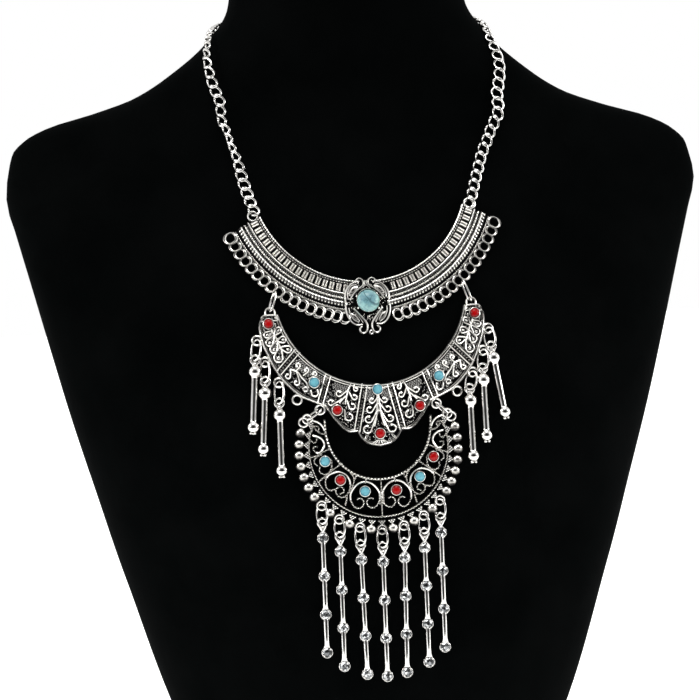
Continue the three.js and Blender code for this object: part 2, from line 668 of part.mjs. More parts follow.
// Turns a piece so that its Z runs from one point up to another and its -Y looks forward.
function hangBetween(mesh, low, high, forward) {
  const up = high.clone().sub(low).normalize();
  const right = new THREE.Vector3().crossVectors(up, forward).normalize();
  const inward = new THREE.Vector3().crossVectors(up, right);
  mesh.setRotationFromMatrix(new THREE.Matrix4().makeBasis(right, inward, up));
  return mesh;
}

// A free ring, spun about its long way and stretched to pass through two loops.
function linkMesh(name, { radius, wire, turn }, low, high, forward) {
  const ring = new THREE.TorusGeometry(radius, wire / 2, RING_SIDES.section, RING_SIDES.around);
  ring.rotateZ(Math.PI / RING_SIDES.around).rotateX(Math.PI / 2);
  const stretch = low.distanceTo(high) / 2 + RING_REACH - radius;
  moveVertices(ring, (point) => point.setZ(point.z + Math.sign(point.z) * stretch));
  const mesh = piece(name, ring.rotateZ(THREE.MathUtils.degToRad(turn)), 'silver');
  mesh.position.copy(low).lerp(high, 0.5);
  return hangBetween(mesh, low, high, forward);
}

const loopPoint = (x, z) => onChest(x, z, PLATE_GAP + LOOP_HEIGHT);
const chestForward = (x, z) => chestAxes(x, z).inward.negate();
const FORWARD = new THREE.Vector3(0, -1, 0);

function rodDropGeometry() {
  const { topBead, lowBead, topRadius, lowRadius, rod } = ROD_DROP;
  const bead = (down, radius) => [-52, 0, 52].map((angle) => {
    const turn = THREE.MathUtils.degToRad(angle);
    return new THREE.Vector2(radius * Math.cos(turn), radius * Math.sin(turn) - down);
  });
  const profile = [
    new THREE.Vector2(0, -ROD_DROP.tip),
    ...bead(lowBead, lowRadius),
    new THREE.Vector2(rod, -topBead - topRadius),
    ...bead(topBead, topRadius).slice(1),
    new THREE.Vector2(0, topRadius - topBead),
  ];
  const body = new THREE.LatheGeometry(profile, ROD_DROP.sides).rotateX(Math.PI / 2);
  return join([body, flatRing(0, 0, LOOP.radius, LOOP.wire, 0)]);
}

function longDropGeometry() {
  const { first, pitch, stones, stone, rod, thick } = LONG_DROP;
  const right = [[rod, -LOOP.radius]];
  for (let i = 0; i < stones; i++) {
    const middle = -first - i * pitch;
    right.push([rod, middle + 1.75], [stone, middle + 0.8], [stone, middle - 0.8], [rod, middle - 1.75]);
  }
  const left = right.map(([x, z]) => [-x, z]).reverse();
  const body = plate([...right, ...left], [], -thick / 2, thick / 2);
  return join([body, flatRing(0, 0, LOOP.radius, LOOP.wire, 0)]);
}

// ---- The whole ----

const group = new THREE.Group();
group.add(piece('neck_bust', bustGeometry(), 'velvet'));
for (const side of ['left', 'right']) {
  group.add(piece(`neck_chain_${side}`, chainGeometry(side), 'silver'));
}
group.add(claspMesh());

group.add(piece('upper_crescent', upperCrescent(), 'silver'));
const { x: cabochonX, z: cabochonZ, front: cabochonSeat } = MEDALLION;
const cabochon = { ...CABOCHON, x: cabochonX, z: cabochonZ, lift: PLATE_GAP + cabochonSeat + STONE_GAP };
group.add(stoneMesh('cabochon', { ...cabochon, finish: 'cabochon' }));

group.add(piece('middle_crescent', middleCrescent(), 'silver'));
group.add(...smallStones('middle_stone', MIDDLE_STONES, SEAT.top));

group.add(piece('lower_crescent', lowerCrescent(), 'silver'));
group.add(...smallStones('lower_stone', LOWER_STONES, LOWER.front));

for (const [side, sign] of [['left', -1], ['right', 1]]) {
  const hangerAngle = RING_ROW.first - RING_ROW.pitch * HANGER_PLACE;
  const [rowX, rowZ] = polar(0, UPPER.centreZ, RING_ROW.radius, sign * hangerAngle);
  const topLoop = loopPoint(sign * MIDDLE_TOP_LOOP.x, MIDDLE_TOP_LOOP.z);
  const upperLoop = loopPoint(rowX, rowZ);
  group.add(linkMesh(`hanger_ring_upper_${side}`, HANGER_RING, topLoop, upperLoop, FORWARD));
  const lowerLoop = loopPoint(sign * LOWER_TOP_LOOP.x, LOWER_TOP_LOOP.z);
  const middleLoop = loopPoint(sign * MIDDLE_LOW_LOOP.x, MIDDLE_LOW_LOOP.z);
  group.add(linkMesh(`hanger_ring_lower_${side}`, HANGER_RING, lowerLoop, middleLoop, FORWARD));
}

for (const { side, number, x, z, lean } of ROD_DROPS) {
  const name = `rod_drop_${side}_${number}`;
  const forward = chestForward(x, z);
  const ring = onChest(x, z, ROD_DROP.lift);
  const [lowX, lowZ] = polar(x, z, ROD_DROP.lowBead, lean);
  const low = onChest(lowX, lowZ, ROD_DROP.lift);
  const drop = hangBetween(piece(name, rodDropGeometry(), 'silver'), low, ring, forward);
  drop.position.copy(ring);
  const { x: loopX, z: loopZ } = MIDDLE_LOOPS[number - 1];
  const loopAt = loopPoint(Math.sign(x) * loopX, loopZ);
  group.add(drop, linkMesh(`jump_ring_${name}`, JUMP_RING, ring, loopAt, forward));
}

const longDropPlaces = [...DROP_PLACES.slice(1).map((place) => -place).reverse(), ...DROP_PLACES];
for (const [i, place] of longDropPlaces.entries()) {
  const name = `long_drop_${i + 1}`;
  const loopAt = loopPoint(...bowPoint(BEAD_ROW, place * BEAD_ROW.pitch));
  const ring = loopAt.clone().setZ(loopAt.z - LONG_DROP.link);
  const sway = Math.sign(place) * LONG_DROP_SWAY[Math.abs(place)];
  const length = LONG_DROP.first + LONG_DROP.pitch * (LONG_DROP.stones - 1);
  const low = ring.clone().add(new THREE.Vector3(sway, 0, -length));
  const drop = hangBetween(piece(name, longDropGeometry(), 'silver'), low, ring, FORWARD);
  drop.position.copy(ring);
  group.add(drop, linkMesh(`jump_ring_${name}`, JUMP_RING, ring, loopAt, FORWARD));
}

export default group;
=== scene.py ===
import json
import math

import bpy
import numpy as np
from mathutils import Matrix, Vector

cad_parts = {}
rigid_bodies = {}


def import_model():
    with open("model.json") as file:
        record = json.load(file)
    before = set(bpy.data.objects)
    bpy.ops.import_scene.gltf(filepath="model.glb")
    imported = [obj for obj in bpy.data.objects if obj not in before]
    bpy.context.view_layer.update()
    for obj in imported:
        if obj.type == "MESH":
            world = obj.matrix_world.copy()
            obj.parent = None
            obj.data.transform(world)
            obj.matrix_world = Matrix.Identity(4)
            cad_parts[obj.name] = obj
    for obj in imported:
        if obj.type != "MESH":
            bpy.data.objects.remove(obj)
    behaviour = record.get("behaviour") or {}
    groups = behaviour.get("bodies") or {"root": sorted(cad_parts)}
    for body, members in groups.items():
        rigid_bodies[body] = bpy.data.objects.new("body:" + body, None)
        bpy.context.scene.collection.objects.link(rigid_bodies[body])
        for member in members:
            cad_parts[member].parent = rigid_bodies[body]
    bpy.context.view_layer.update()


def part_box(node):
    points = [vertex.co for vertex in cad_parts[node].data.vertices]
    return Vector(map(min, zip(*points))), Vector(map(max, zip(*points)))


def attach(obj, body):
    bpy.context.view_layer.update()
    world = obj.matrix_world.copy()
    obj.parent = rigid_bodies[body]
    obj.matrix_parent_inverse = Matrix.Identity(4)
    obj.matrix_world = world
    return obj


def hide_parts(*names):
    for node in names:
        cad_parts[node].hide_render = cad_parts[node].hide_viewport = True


# A three-tier bib necklace of antique silver on a velvet neck bust.
# Lengths are millimetres until a piece is made. Flat work is drawn as (x, z, up): across the
# chest, up the chest, and the height above the backs of the plates. It is laid on the chest last.
# Angles of flat work run from straight down, positive to the right.

for thing in list(bpy.data.objects):
    bpy.data.objects.remove(thing)
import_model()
MM = 0.001  # metres

BUST = np.array([  # height, half width, depth in front of the plane y = 0, depth behind it
    (0, 68, 48, 43), (3, 70.9, 50.6, 44.8), (80, 99, 60.5, 37.7), (114, 109.1, 61.5, 33.6),
    (144, 117.8, 60.5, 30.5), (172, 125.1, 55.8, 29), (200, 132.2, 46, 29), (220, 137.3, 37.2, 29.5),
    (234, 140.6, 31.1, 31.2), (250, 137.6, 26.6, 33.7), (256, 132, 25.5, 34.9), (261, 122, 25, 35.8),
    (266, 104.6, 25.1, 36.7), (272, 87.5, 25.6, 37.8), (282, 71.8, 26.9, 39.5), (294, 58, 28.5, 40),
    (308, 48.4, 30.4, 39.8), (327, 45.3, 33.5, 38.4), (330, 42, 31, 35)], float)
BUST_POWER = 2.2
SHOULDER_SLOPE = 0.016  # down to the right, in full between the two middle heights
SLOPE_HEIGHTS = (228, 248, 272, 310)
PLATE_GAP = 1.2
SEEN_LIFT = 2.6  # flat work is drawn as it looks from the front this far off the velvet
CHAIN_ROUTE = np.array([  # height, turn about the neck from the front: left side, right side
    (225.5, 16.2, 15.9), (237, 17.4, 17.2), (250, 19.5, 19.6), (259.5, 23, 24), (268, 31.5, 33.5),
    (275, 41.5, 43.2), (281, 50, 52), (287, 60.5, 61.2), (292, 70, 69.2), (296.5, 83, 80),
    (300, 99, 96), (302, 120, 120), (302.8, 150, 150), (303, 180, 180)], float)
CHAIN_ROLL = np.array([  # distance along the chain, roll about its route: left side, right side
    (0, 34, 28), (11, 22, 26), (31, 68, 24), (52, 24, 14), (70, 34, 8), (80, 14, 4), (94, 4, 2),
    (150, 0, 0)], float)
UPPER_Z, UPPER_INNER, UPPER_END = 239.4, 43.0, 68.4
UPPER_TILT, MIDDLE_TILT = 1.3, 0.7  # degrees
TILT_Z, UPPER_RISE = 190.0, 0.6
MIDDLE_Z, MIDDLE_INNER, MIDDLE_TOP = 194.4, 37.7, 185.6
MIDDLE_LOBES = [  # angle, outer radius; a notch parts each lobe from the next
    [(0, 62), (3.9, 61.2), (6.9, 59.3), (8.9, 56.6)],
    [(8.9, 56.6), (11.8, 57.2), (14.5, 56.4), (17, 54.9), (20.6, 52.6), (24.6, 49.9)],
    [(24.6, 49.9), (30, 50.3), (36.8, 51), (47, 50.5), (58, 49.1), (67, 47.2), (72, 45.3),
     (76, 43.6), (80, 41.6)]]
NOTCHES = (8.9, 24.6)
MIDDLE_SPAN, LEVEL_FROM = 78.0, 60.0  # degrees: the ends, and where the lines start to end level
RIM_LOOPS = [(45.8, 176), (43.2, 167.5), (38.3, 159.3), (31.6, 152.3), (22.9, 148)]
HORN_LOOP = (39.8, 187.4)
BEAD_Z, BEAD_RADIUS, BEAD_PITCH, BEAD_COUNT = 131.2, 31.4, 8.0, 15
LOOP_PLACES = (0, 2, 4, 6, 14)  # steps of the outer row that hold a loop and not a ball
LOWER_EYE = (27.6, 144.2)


# ---- Shapes: (points, faces, tarnish), where tarnish runs from 0, polished, to 1, blackened; it also holds painted shade on the resin stones' rims and the outer balls' lower sides ----

def unit(vectors):
    """The same directions at length 1."""
    return vectors / np.maximum(np.linalg.norm(vectors, axis=-1, keepdims=True), 1e-9)


def outward(points, faces, tarnish):
    """Turns the faces of a closed shape outwards: the sum of a . (b x c) over its triangles is
    six times its volume, and so it has to be positive."""
    p = points - points.mean(0)
    triangles = [f[:, [0, k, k + 1]] for f in faces for k in range(1, f.shape[1] - 1)]
    a, b, c = (p[np.vstack(triangles)[:, k]] for k in range(3))
    if (a * np.cross(b, c)).sum() < 0:
        faces = [f[:, ::-1] for f in faces]
    return points, faces, tarnish


def skin(rows, ring=False, tarnish=0.0, caps=None):
    """Closed skin over a grid of points: every row closes round on itself, and the rows run back
    to the first (ring) or are closed by a point in the middle of each end row (or by caps)."""
    rows = np.asarray(rows, float)
    count, width = rows.shape[:2]
    points = rows.reshape(-1, 3)
    dark = np.array(np.broadcast_to(tarnish, (count, width)), float)
    i, j = np.meshgrid(np.arange(count if ring else count - 1), np.arange(width), indexing="ij")
    k, l = (i + 1) % count, (j + 1) % width
    faces = [np.stack([i * width + j, i * width + l, k * width + l, k * width + j], -1).reshape(-1, 4)]
    if not ring:
        caps = caps if caps is not None else (rows[0].mean(0), rows[-1].mean(0))
        points = np.vstack([points, caps])
        j, l, last = np.arange(width), (np.arange(width) + 1) % width, (count - 1) * width
        faces.append(np.stack([0 * j + count * width, l, j], -1))
        faces.append(np.stack([0 * j + count * width + 1, last + j, last + l], -1))
        dark = np.concatenate([dark.ravel(), [dark[0].mean(), dark[-1].mean()]])
    return outward(points, faces, dark.ravel())


def join(shapes):
    """One shape out of several: their points stacked and their faces renumbered."""
    points, faces, tarnish, start = [], [], [], 0
    for p, f, t in shapes:
        points.append(p)
        tarnish.append(t)
        faces += [g + start for g in f]
        start += len(p)
    return np.vstack(points), faces, np.concatenate(tarnish)


def mirror(shape):
    """The same shape on the other side of x = 0."""
    points, faces, tarnish = shape
    return points * (-1, 1, 1), [f[:, ::-1] for f in faces], tarnish


def both(shapes):
    """Shapes of the right side and their mirror images."""
    shape = join(shapes)
    return [shape, mirror(shape)]


def moved(shape, way):
    """The shape with all its points passed through way."""
    return way(shape[0]), shape[1], shape[2]


def full_turn(count):
    """The angles of even steps round a circle."""
    return 2 * np.pi * np.arange(count) / count


def lathe(profile, sides, tarnish=0.0):
    """A turned form: at each (radius, height) of the profile a circle about the up axis."""
    radius, height = np.array(profile, float).T
    turn = full_turn(sides)
    rows = np.stack([np.outer(radius, np.cos(turn)), np.outer(radius, np.sin(turn)),
                     np.outer(height, np.ones(sides))], -1)
    return skin(rows, tarnish=np.reshape(tarnish, (-1, 1)))


def ball(rings, sides, dark=0.0):
    """A sphere of radius 1: circles at even steps of latitude, closed at both poles. Its tarnish
    grows from 0 at the top to dark at the foot."""
    latitude = np.radians(np.linspace(-90 + 90 / rings, 90 - 90 / rings, rings))
    profile = np.column_stack([np.cos(latitude), np.sin(latitude)])
    points, faces, tarnish = lathe(profile, sides, dark * (1 - np.sin(latitude)) / 2)
    points[-2:, 2] = -1, 1
    return points, faces, tarnish


def copies(form, points):
    """One shape out of copies of a form; points holds the points of each copy in turn."""
    start = np.arange(len(points))[:, None, None] * points.shape[1]
    faces = [(f + start).reshape(-1, f.shape[1]) for f in form[1]]
    return points.reshape(-1, 3), faces, np.tile(form[2], len(points))


def stamp(form, places, turns=0.0, sizes=1.0):
    """Copies of a small flat form: place + size x (form turned from x towards z by turn)."""
    places = np.atleast_2d(np.asarray(places, float))
    turns, sizes = (np.broadcast_to(v, len(places)).astype(float)[:, None] for v in (turns, sizes))
    x, z, up = form[0].T
    turned = np.stack([x * np.cos(turns) - z * np.sin(turns), x * np.sin(turns) + z * np.cos(turns),
                       up + 0 * turns], -1)
    return copies(form, turned * sizes[..., None] + places[:, None])


def even(line, step, ring=False):
    """The same line cut into even steps along its length; columns past x, y, z go along."""
    if ring:
        line = np.vstack([line, line[:1]])
    steps = np.linalg.norm(np.diff(line[:, :3], axis=0), axis=1)
    length = np.concatenate([[0], np.cumsum(steps)])
    count = max(int(round(length[-1] / step)), 3) + (0 if ring else 1)
    at = np.linspace(0, length[-1], count, endpoint=not ring)
    return np.column_stack([np.interp(at, length, column) for column in line.T])


def bend(points, step=0.4, ring=False):
    """A smooth line through points: on each span the cubic whose slope at a point is half the
    way between its two neighbours (Catmull-Rom), cut into even steps."""
    points = np.asarray(points, float)
    if points.shape[1] == 2:
        points = np.column_stack([points, np.zeros(len(points))])
    if ring:
        padded = np.vstack([points[-1:], points, points[:2]])
    else:
        padded = np.vstack([2 * points[0] - points[1], points, 2 * points[-1] - points[-2]])
    t = np.linspace(0, 1, 10, endpoint=False)[:, None]
    a, b, c, d = (padded[k:len(padded) - 3 + k, None] for k in range(4))
    line = b + 0.5 * t * (c - a + t * (2 * a - 5 * b + 4 * c - d + t * (3 * (b - c) + d - a)))
    line = line.reshape(-1, 3)
    return even(line if ring else np.vstack([line, points[-1:]]), step, ring)


def tube(line, radius, sides=6, ring=False, face=(0, 0, 1), squash=1.0, tarnish=0.0):
    """Wire along a line: at each point a circle across it, line + radius (cos t top + sin t side),
    flattened by squash towards its top, which looks to face. Open ends are rounded off. The
    tarnish is tarnish x (1.1 - cos t), so that the top stays bright, or 1 all round."""
    line = np.asarray(line, float)
    along = np.roll(line, -1, 0) - np.roll(line, 1, 0) if ring else np.gradient(line, axis=0)
    along = unit(along)
    side = unit(np.cross(along, face))
    top = np.cross(side, along)
    radius = np.array(np.broadcast_to(radius, len(line)), float)
    if not ring:
        out, share = np.sin(np.radians((70, 38))), np.cos(np.radians((70, 38)))
        before = line[0] - np.outer(out * radius[0], along[0])
        after = line[-1] + np.outer(out[::-1] * radius[-1], along[-1])
        line = np.vstack([before, line, after])
        radius = np.concatenate([share * radius[0], radius, share[::-1] * radius[-1]])
        side, top = (np.vstack([v[:1], v[:1], v, v[-1:], v[-1:]]) for v in (side, top))
    turn = full_turn(sides)
    across = (np.cos(turn)[None, :, None] * top[:, None] * squash
              + np.sin(turn)[None, :, None] * side[:, None])
    flanks = 1.0 if tarnish >= 1 else np.clip(tarnish * (1.1 - np.cos(turn)), 0, 1)
    return skin(line[:, None] + radius[:, None, None] * across, ring, flanks)


# ---- Jeweller's parts in the flat ----

GRANULE = ball(3, 6, 0.3)
PEARL = ball(4, 9, 0.9)
BEAD = ball(11, 20, 0.3)
BALL = ball(11, 20)
BALL = (*BALL[:2], np.clip(0.3 - 0.55 * BALL[0][:, 1], 0, 1))  # painted shade: the ball darkens from its upper side to its lower side
GRAIN = ball(2, 6)
SEED = lathe([(1, -0.3), (0.92, 0.35), (0.6, 0.8), (0.2, 1)], 8, (0.5, 0.25, 0, 0))


def wire(points, radius, up, ring=False, step=0.45, sides=6, tarnish=0.75):
    """A smooth wire through flat points, its middle at the height up; its flanks darken."""
    return tube(bend(points, step, ring) + (0, 0, up), radius, sides, ring, tarnish=tarnish)


def granules(points, radius, up, pitch, core=0.4):
    """A row of soldered granules along a smooth line, on a wire that carries them and is thinner
    than they are by the share core."""
    line = bend(points) + (0, 0, up)
    return join([stamp(GRANULE, even(line, pitch), sizes=radius),
                 tube(line - (0, 0, 0.2), radius * core, 5, tarnish=0.75)])


def arc(x, z, radius, start, stop, count=None):
    """Points of a circle from one angle to another."""
    count = count or max(int(abs(stop - start) / 12), 2) + 1
    angle = np.radians(np.linspace(start, stop, count))
    return np.column_stack([x + radius * np.sin(angle), z - radius * np.cos(angle)])


def spot(x, z, radius, angle):
    """The point of a circle at one angle."""
    return arc(x, z, radius, angle, angle, 1)[0]


def around(z, radius, turn, up):
    """Flat points at a radius and a turn in radians about the middle (0, z)."""
    return np.stack([radius * np.sin(turn), z - radius * np.cos(turn), up + 0 * turn], -1)


def round_wire(x, z, radius, thick, up=1.0, sides=8, tarnish=0.3):
    """A closed ring of wire lying flat."""
    return wire(arc(x, z, radius, 0, 345, 24), thick, up, True, 0.5, sides, tarnish)


def hook(root, middle, radius, sweep, side, wind):
    """A line from root that meets a circle without a corner and goes round it by sweep degrees,
    its radius shrinking with the square of the way gone by the share wind."""
    root, middle = np.array(root, float), np.array(middle, float)
    away = root - middle
    start = math.atan2(away[1], away[0]) + side * math.acos(min(radius / np.hypot(*away), 1))
    gone = np.linspace(0, 1, max(int(sweep / 30), 3))
    turn = start + side * np.radians(sweep) * gone
    reach = radius * (1 - wind * gone ** 2)
    return np.vstack([root, middle + reach[:, None] * np.column_stack([np.cos(turn), np.sin(turn)])])


VINE_UP = 1.62


def drop_loop(root, middle, radius):
    """A teardrop of wire from its root round a seed, and the seed."""
    away = np.array(root, float) - middle
    spare = math.degrees(math.acos(min(radius / np.hypot(*away), 1)))
    line = hook(root, middle, radius, 360 - 2 * spare, 1, 0)
    turn = math.atan2(away[1], away[0])
    seed = moved(SEED, lambda p: p * (radius * 0.6, radius * 0.42, 0.6))
    return [wire(line, 0.32, VINE_UP, True), stamp(seed, [(*middle, VINE_UP - 0.3)], turn)]


def curl(root, middle, radius, side):
    """A hook of wire round a middle, with a bead at its tip that is half as thick again."""
    thick = 0.34
    line = hook(root, middle, radius, 255, side, 0.3)
    return [wire(line, thick, VINE_UP), stamp(PEARL, [(*line[-1], VINE_UP)], sizes=thick * 1.45)]


def patch(angle, out, length, width):
    """A worn place of the middle crescent's ground, stippled with fine bright grain: a grid of
    granules turned along the arc, every other row set in by half a step, kept inside an oval."""
    step, row = 1.0, 0.85
    a, b = np.meshgrid(np.arange(-length / 2, length / 2, step), np.arange(-width / 2, width / 2, row))
    a = a + 0.5 * step * (np.arange(len(a)) % 2)[:, None]
    inside = (2 * a / length) ** 2 + (2 * b / width) ** 2 < 1
    radius = MIDDLE_INNER + out
    turn = np.radians(angle) + a[inside] / radius
    return stamp(GRAIN, around(MIDDLE_Z, radius + b[inside], turn, 1.22), sizes=0.56)


def leaf(x, z, length, width, lean, low, crown):
    """A domed leaf with a pointed outline and a groove for its vein: across the leaf the height
    is crown x sqrt(1 - u^2), less a notch along the middle."""
    turn = full_turn(20)
    along = 0.5 * length * np.cos(turn)
    across = 0.5 * width * np.sin(turn) * (1 - 0.35 * np.cos(turn) ** 2)
    share = np.array([1, 1, 0.82, 0.55, 0.25, 0.1])[:, None]
    up = low + np.where(np.arange(6)[:, None] == 0, -0.8, crown * np.sqrt(1 - share ** 2))
    up = up - 0.22 * crown * (share < 0.3)
    angle = math.radians(lean)
    a, b = share * along, share * across
    rows = np.stack([x + a * math.sin(angle) + b * math.cos(angle),
                     z + a * math.cos(angle) - b * math.sin(angle), up + 0 * a], -1)
    return skin(rows, tarnish=np.array([1, 0.8, 0.25, 0.15, 0.55, 0.8])[:, None])


def bezel(x, z, radius, top, sides=20, wall=0.26):
    """The collar round a stone: a turned ring whose lip leans in over the stone."""
    profile = [(radius + wall, -0.9), (radius + wall, 0), (radius + 0.7 * wall, 0.32), (radius, 0.42),
               (radius - 0.12, 0.3), (radius - 0.1, -0.2)]
    return stamp(lathe(profile, sides, (1, 0.8, 0.35, 0.15, 0.6, 1)), [(x, z, top)])


# ---- The chest ----

def table_value(table, column, at):
    """A column of a table at some heights: on each span the cubic with the slopes of its two
    ends, where a slope is the harmonic mean of the slopes beside it, or 0 where they disagree."""
    x, y = table[:, 0], table[:, column]
    slope = np.diff(y) / np.diff(x)
    product = slope[:-1] * slope[1:]
    inner = np.where(product > 0, 2 * product / np.where(product > 0, slope[:-1] + slope[1:], 1), 0)
    tangent = np.concatenate([slope[:1], inner, slope[-1:]])
    i = np.clip(np.searchsorted(x, at, side="right") - 1, 0, len(x) - 2)
    span = x[i + 1] - x[i]
    t = np.clip((at - x[i]) / span, 0, 1)
    return (y[i] * (1 + 2 * t) * (1 - t) ** 2 + y[i + 1] * t * t * (3 - 2 * t)
            + span * (tangent[i] * t * (1 - t) ** 2 - tangent[i + 1] * t * t * (1 - t)))


def shoulder_slope(height):
    """How far the velvet drops for each millimetre to the right: a smooth step up and one down."""
    start, full, until, end = SLOPE_HEIGHTS
    up, down = (np.clip((height - a) / (b - a), 0, 1) for a, b in ((start, full), (until, end)))
    return SHOULDER_SLOPE * up * up * (3 - 2 * up) * (1 - down * down * (3 - 2 * down))


def bust_point(turn, height):
    """The velvet at a turn in degrees and a height: x = half width x sin^(2/p) of the turn and
    y = -depth x cos^(2/p) of it, both with their signs, so that sections are rounded oblongs."""
    s, c = np.sin(np.radians(turn)), np.cos(np.radians(turn))
    depth = np.where(c >= 0, table_value(BUST, 2, height), table_value(BUST, 3, height))
    x = table_value(BUST, 1, height) * np.sign(s) * np.abs(s) ** (2 / BUST_POWER)
    y = -depth * np.sign(c) * np.abs(c) ** (2 / BUST_POWER)
    return np.stack([x, y, height - x * shoulder_slope(height)], -1)


def outwards(turn, height):
    """The way straight out of the velvet."""
    right = bust_point(turn + 0.5, height) - bust_point(turn - 0.5, height)
    rise = bust_point(turn, height + 1) - bust_point(turn, height - 1)
    return unit(np.cross(right, rise))


def on_bust(turn, height, lift):
    """The velvet's point, and straight out from it by lift."""
    return bust_point(turn, height) + outwards(turn, height) * np.asarray(lift)[..., None]


def turn_at(x, height):
    """The turn at which the chest has this x."""
    share = np.minimum(np.abs(x) / table_value(BUST, 1, height), 1)
    return np.degrees(np.arcsin(share ** (BUST_POWER / 2))) * np.sign(x)


def behind(x, z):
    """The turn and height of the velvet behind a place of the flat work: where a way out of
    SEEN_LIFT ends at that x and z."""
    way = outwards(turn_at(x, z), z)
    height = z - way[..., 2] * SEEN_LIFT
    return turn_at(x - way[..., 0] * SEEN_LIFT, height), height


def on_chest(flat):
    """Lays flat work on the chest: from the velvet behind it straight out by the gap behind the
    plates and by up."""
    x, z, up = np.moveaxis(np.asarray(flat, float), -1, 0)
    return on_bust(*behind(x, z), PLATE_GAP + up)


def forward_at(x, z):
    """The way out of the velvet behind a place of the flat work."""
    return outwards(*behind(x, z))


def tilt(flat, degrees, rise=0.0):
    """Turns flat work a little about (0, TILT_Z), as it hangs not quite level, and raises it."""
    x, z, up = np.moveaxis(np.asarray(flat, float), -1, 0)
    c, s = math.cos(math.radians(degrees)), math.sin(math.radians(degrees))
    return np.stack([x * c - (z - TILT_Z) * s, TILT_Z + x * s + (z - TILT_Z) * c + rise, up], -1)


def hung(low, high, forward):
    """Puts a form modelled with its top loop at 0, hanging down -z and facing -y, between two
    points: its z runs from low up to high and its face looks forward."""
    up = unit(high - low)
    right = unit(np.cross(up, forward))
    axes = np.stack([right, np.cross(up, right), up])
    return lambda p: p @ axes + high


# ---- Materials ----

def linear(code):
    """Linear colour from an sRGB hex code."""
    values = [int(code[i:i + 2], 16) / 255 for i in (1, 3, 5)]
    return [v / 12.92 if v <= 0.04045 else ((v + 0.055) / 1.055) ** 2.4 for v in values] + [1.0]


def add(tree, kind, inputs=(), output=0, stops=(), blend="EASE", **settings):
    """A node with its settings, and one of its outputs. Inputs go by name or in their order, and
    one that is a socket is linked. Stops are the (place, hex colour) of a colour ramp."""
    node = tree.nodes.new(kind)
    for name, value in settings.items():
        setattr(node, name, value)
    for name, value in inputs.items() if isinstance(inputs, dict) else enumerate(inputs):
        if isinstance(value, bpy.types.NodeSocket):
            tree.links.new(value, node.inputs[name])
        else:
            node.inputs[name].default_value = value
    if stops:
        node.color_ramp.interpolation = blend
        for _ in stops[2:]:
            node.color_ramp.elements.new(0.5)
        for element, (place, code) in zip(node.color_ramp.elements, stops):
            element.position, element.color = place, linear(code)
    return node.outputs[output] if node.outputs else None


def sized(tree, size, detail=4.0, rough=0.6):
    """The inputs of a noise on the piece whose grain is size millimetres across."""
    place = add(tree, "ShaderNodeTexCoord", output="Object")
    return {"Vector": place, "Scale": 1 / (size * MM), "Detail": detail, "Roughness": rough}


def material(name, build):
    """A material whose shader build sets up on an empty tree."""
    made = bpy.data.materials.new(name)
    made.use_nodes = True
    tree = made.node_tree
    tree.nodes.clear()
    add(tree, "ShaderNodeOutputMaterial", {"Surface": build(tree)})
    return made


def silver_shader(tree):
    """Cast white metal plated with silver, dipped in liver of sulphur and rubbed back by hand: the
    high places are bright and finely scratched, the low ones stay blue-black and dull."""
    # The tarnish attribute is patina in the hollows; on the outer row's balls it is also painted shade on
    # their lower sides.
    tarnish = add(tree, "ShaderNodeAttribute", output="Fac", attribute_name="tarnish")
    cloud = add(tree, "ShaderNodeTexNoise", sized(tree, 2.4))
    # The scratches of hand rubbing, drawn coarser than they are so that they show.
    scratch = add(tree, "ShaderNodeTexNoise", sized(tree, 0.35, 3.0))
    rubbed = add(tree, "ShaderNodeMapRange", [cloud, 0.3, 0.7, -0.16, 0.16])
    uneven = add(tree, "ShaderNodeMath", [tarnish, rubbed], operation="ADD")
    dark = add(tree, "ShaderNodeMapRange", [uneven, 0.15, 0.9])
    colour = add(tree, "ShaderNodeValToRGB", [dark],
                 stops=[(0.0, "#f0eee9"), (0.3, "#b9b6b0"), (0.62, "#3c3a39"), (1.0, "#0c0c0d")])
    worn = add(tree, "ShaderNodeMapRange", [scratch, 0.3, 0.7, -0.06, 0.06])
    dull = add(tree, "ShaderNodeMath", [dark, worn], operation="ADD")
    return add(tree, "ShaderNodeBsdfPrincipled", {
        "Base Color": colour, "Metallic": 1.0,
        "Roughness": add(tree, "ShaderNodeMapRange", [dull, 0, 1, 0.24, 0.5]),
        "Normal": add(tree, "ShaderNodeBump", {"Height": scratch, "Distance": 0.012 * MM})})


def polished_shader(tree):
    """Drawn rods, balls and jump rings of plated wire: bright, with hairline scratches and a
    faint grey film, and so they mirror the room in streaks."""
    cloud = add(tree, "ShaderNodeTexNoise", sized(tree, 3.0))
    film = add(tree, "ShaderNodeMapRange", [cloud, 0.35, 0.75])
    # Hairlines, drawn coarser than they are so that they show.
    scratch = add(tree, "ShaderNodeTexNoise", sized(tree, 0.6, 6.0, 0.75))
    return add(tree, "ShaderNodeBsdfPrincipled", {
        "Base Color": add(tree, "ShaderNodeValToRGB", [film], stops=[(0.0, "#f3f1ee"), (1.0, "#cfcdc8")]),
        "Metallic": 1.0,
        "Roughness": add(tree, "ShaderNodeMapRange", [scratch, 0.3, 0.7, 0.05, 0.13]),
        "Normal": add(tree, "ShaderNodeBump", {"Height": scratch, "Distance": 0.006 * MM})})


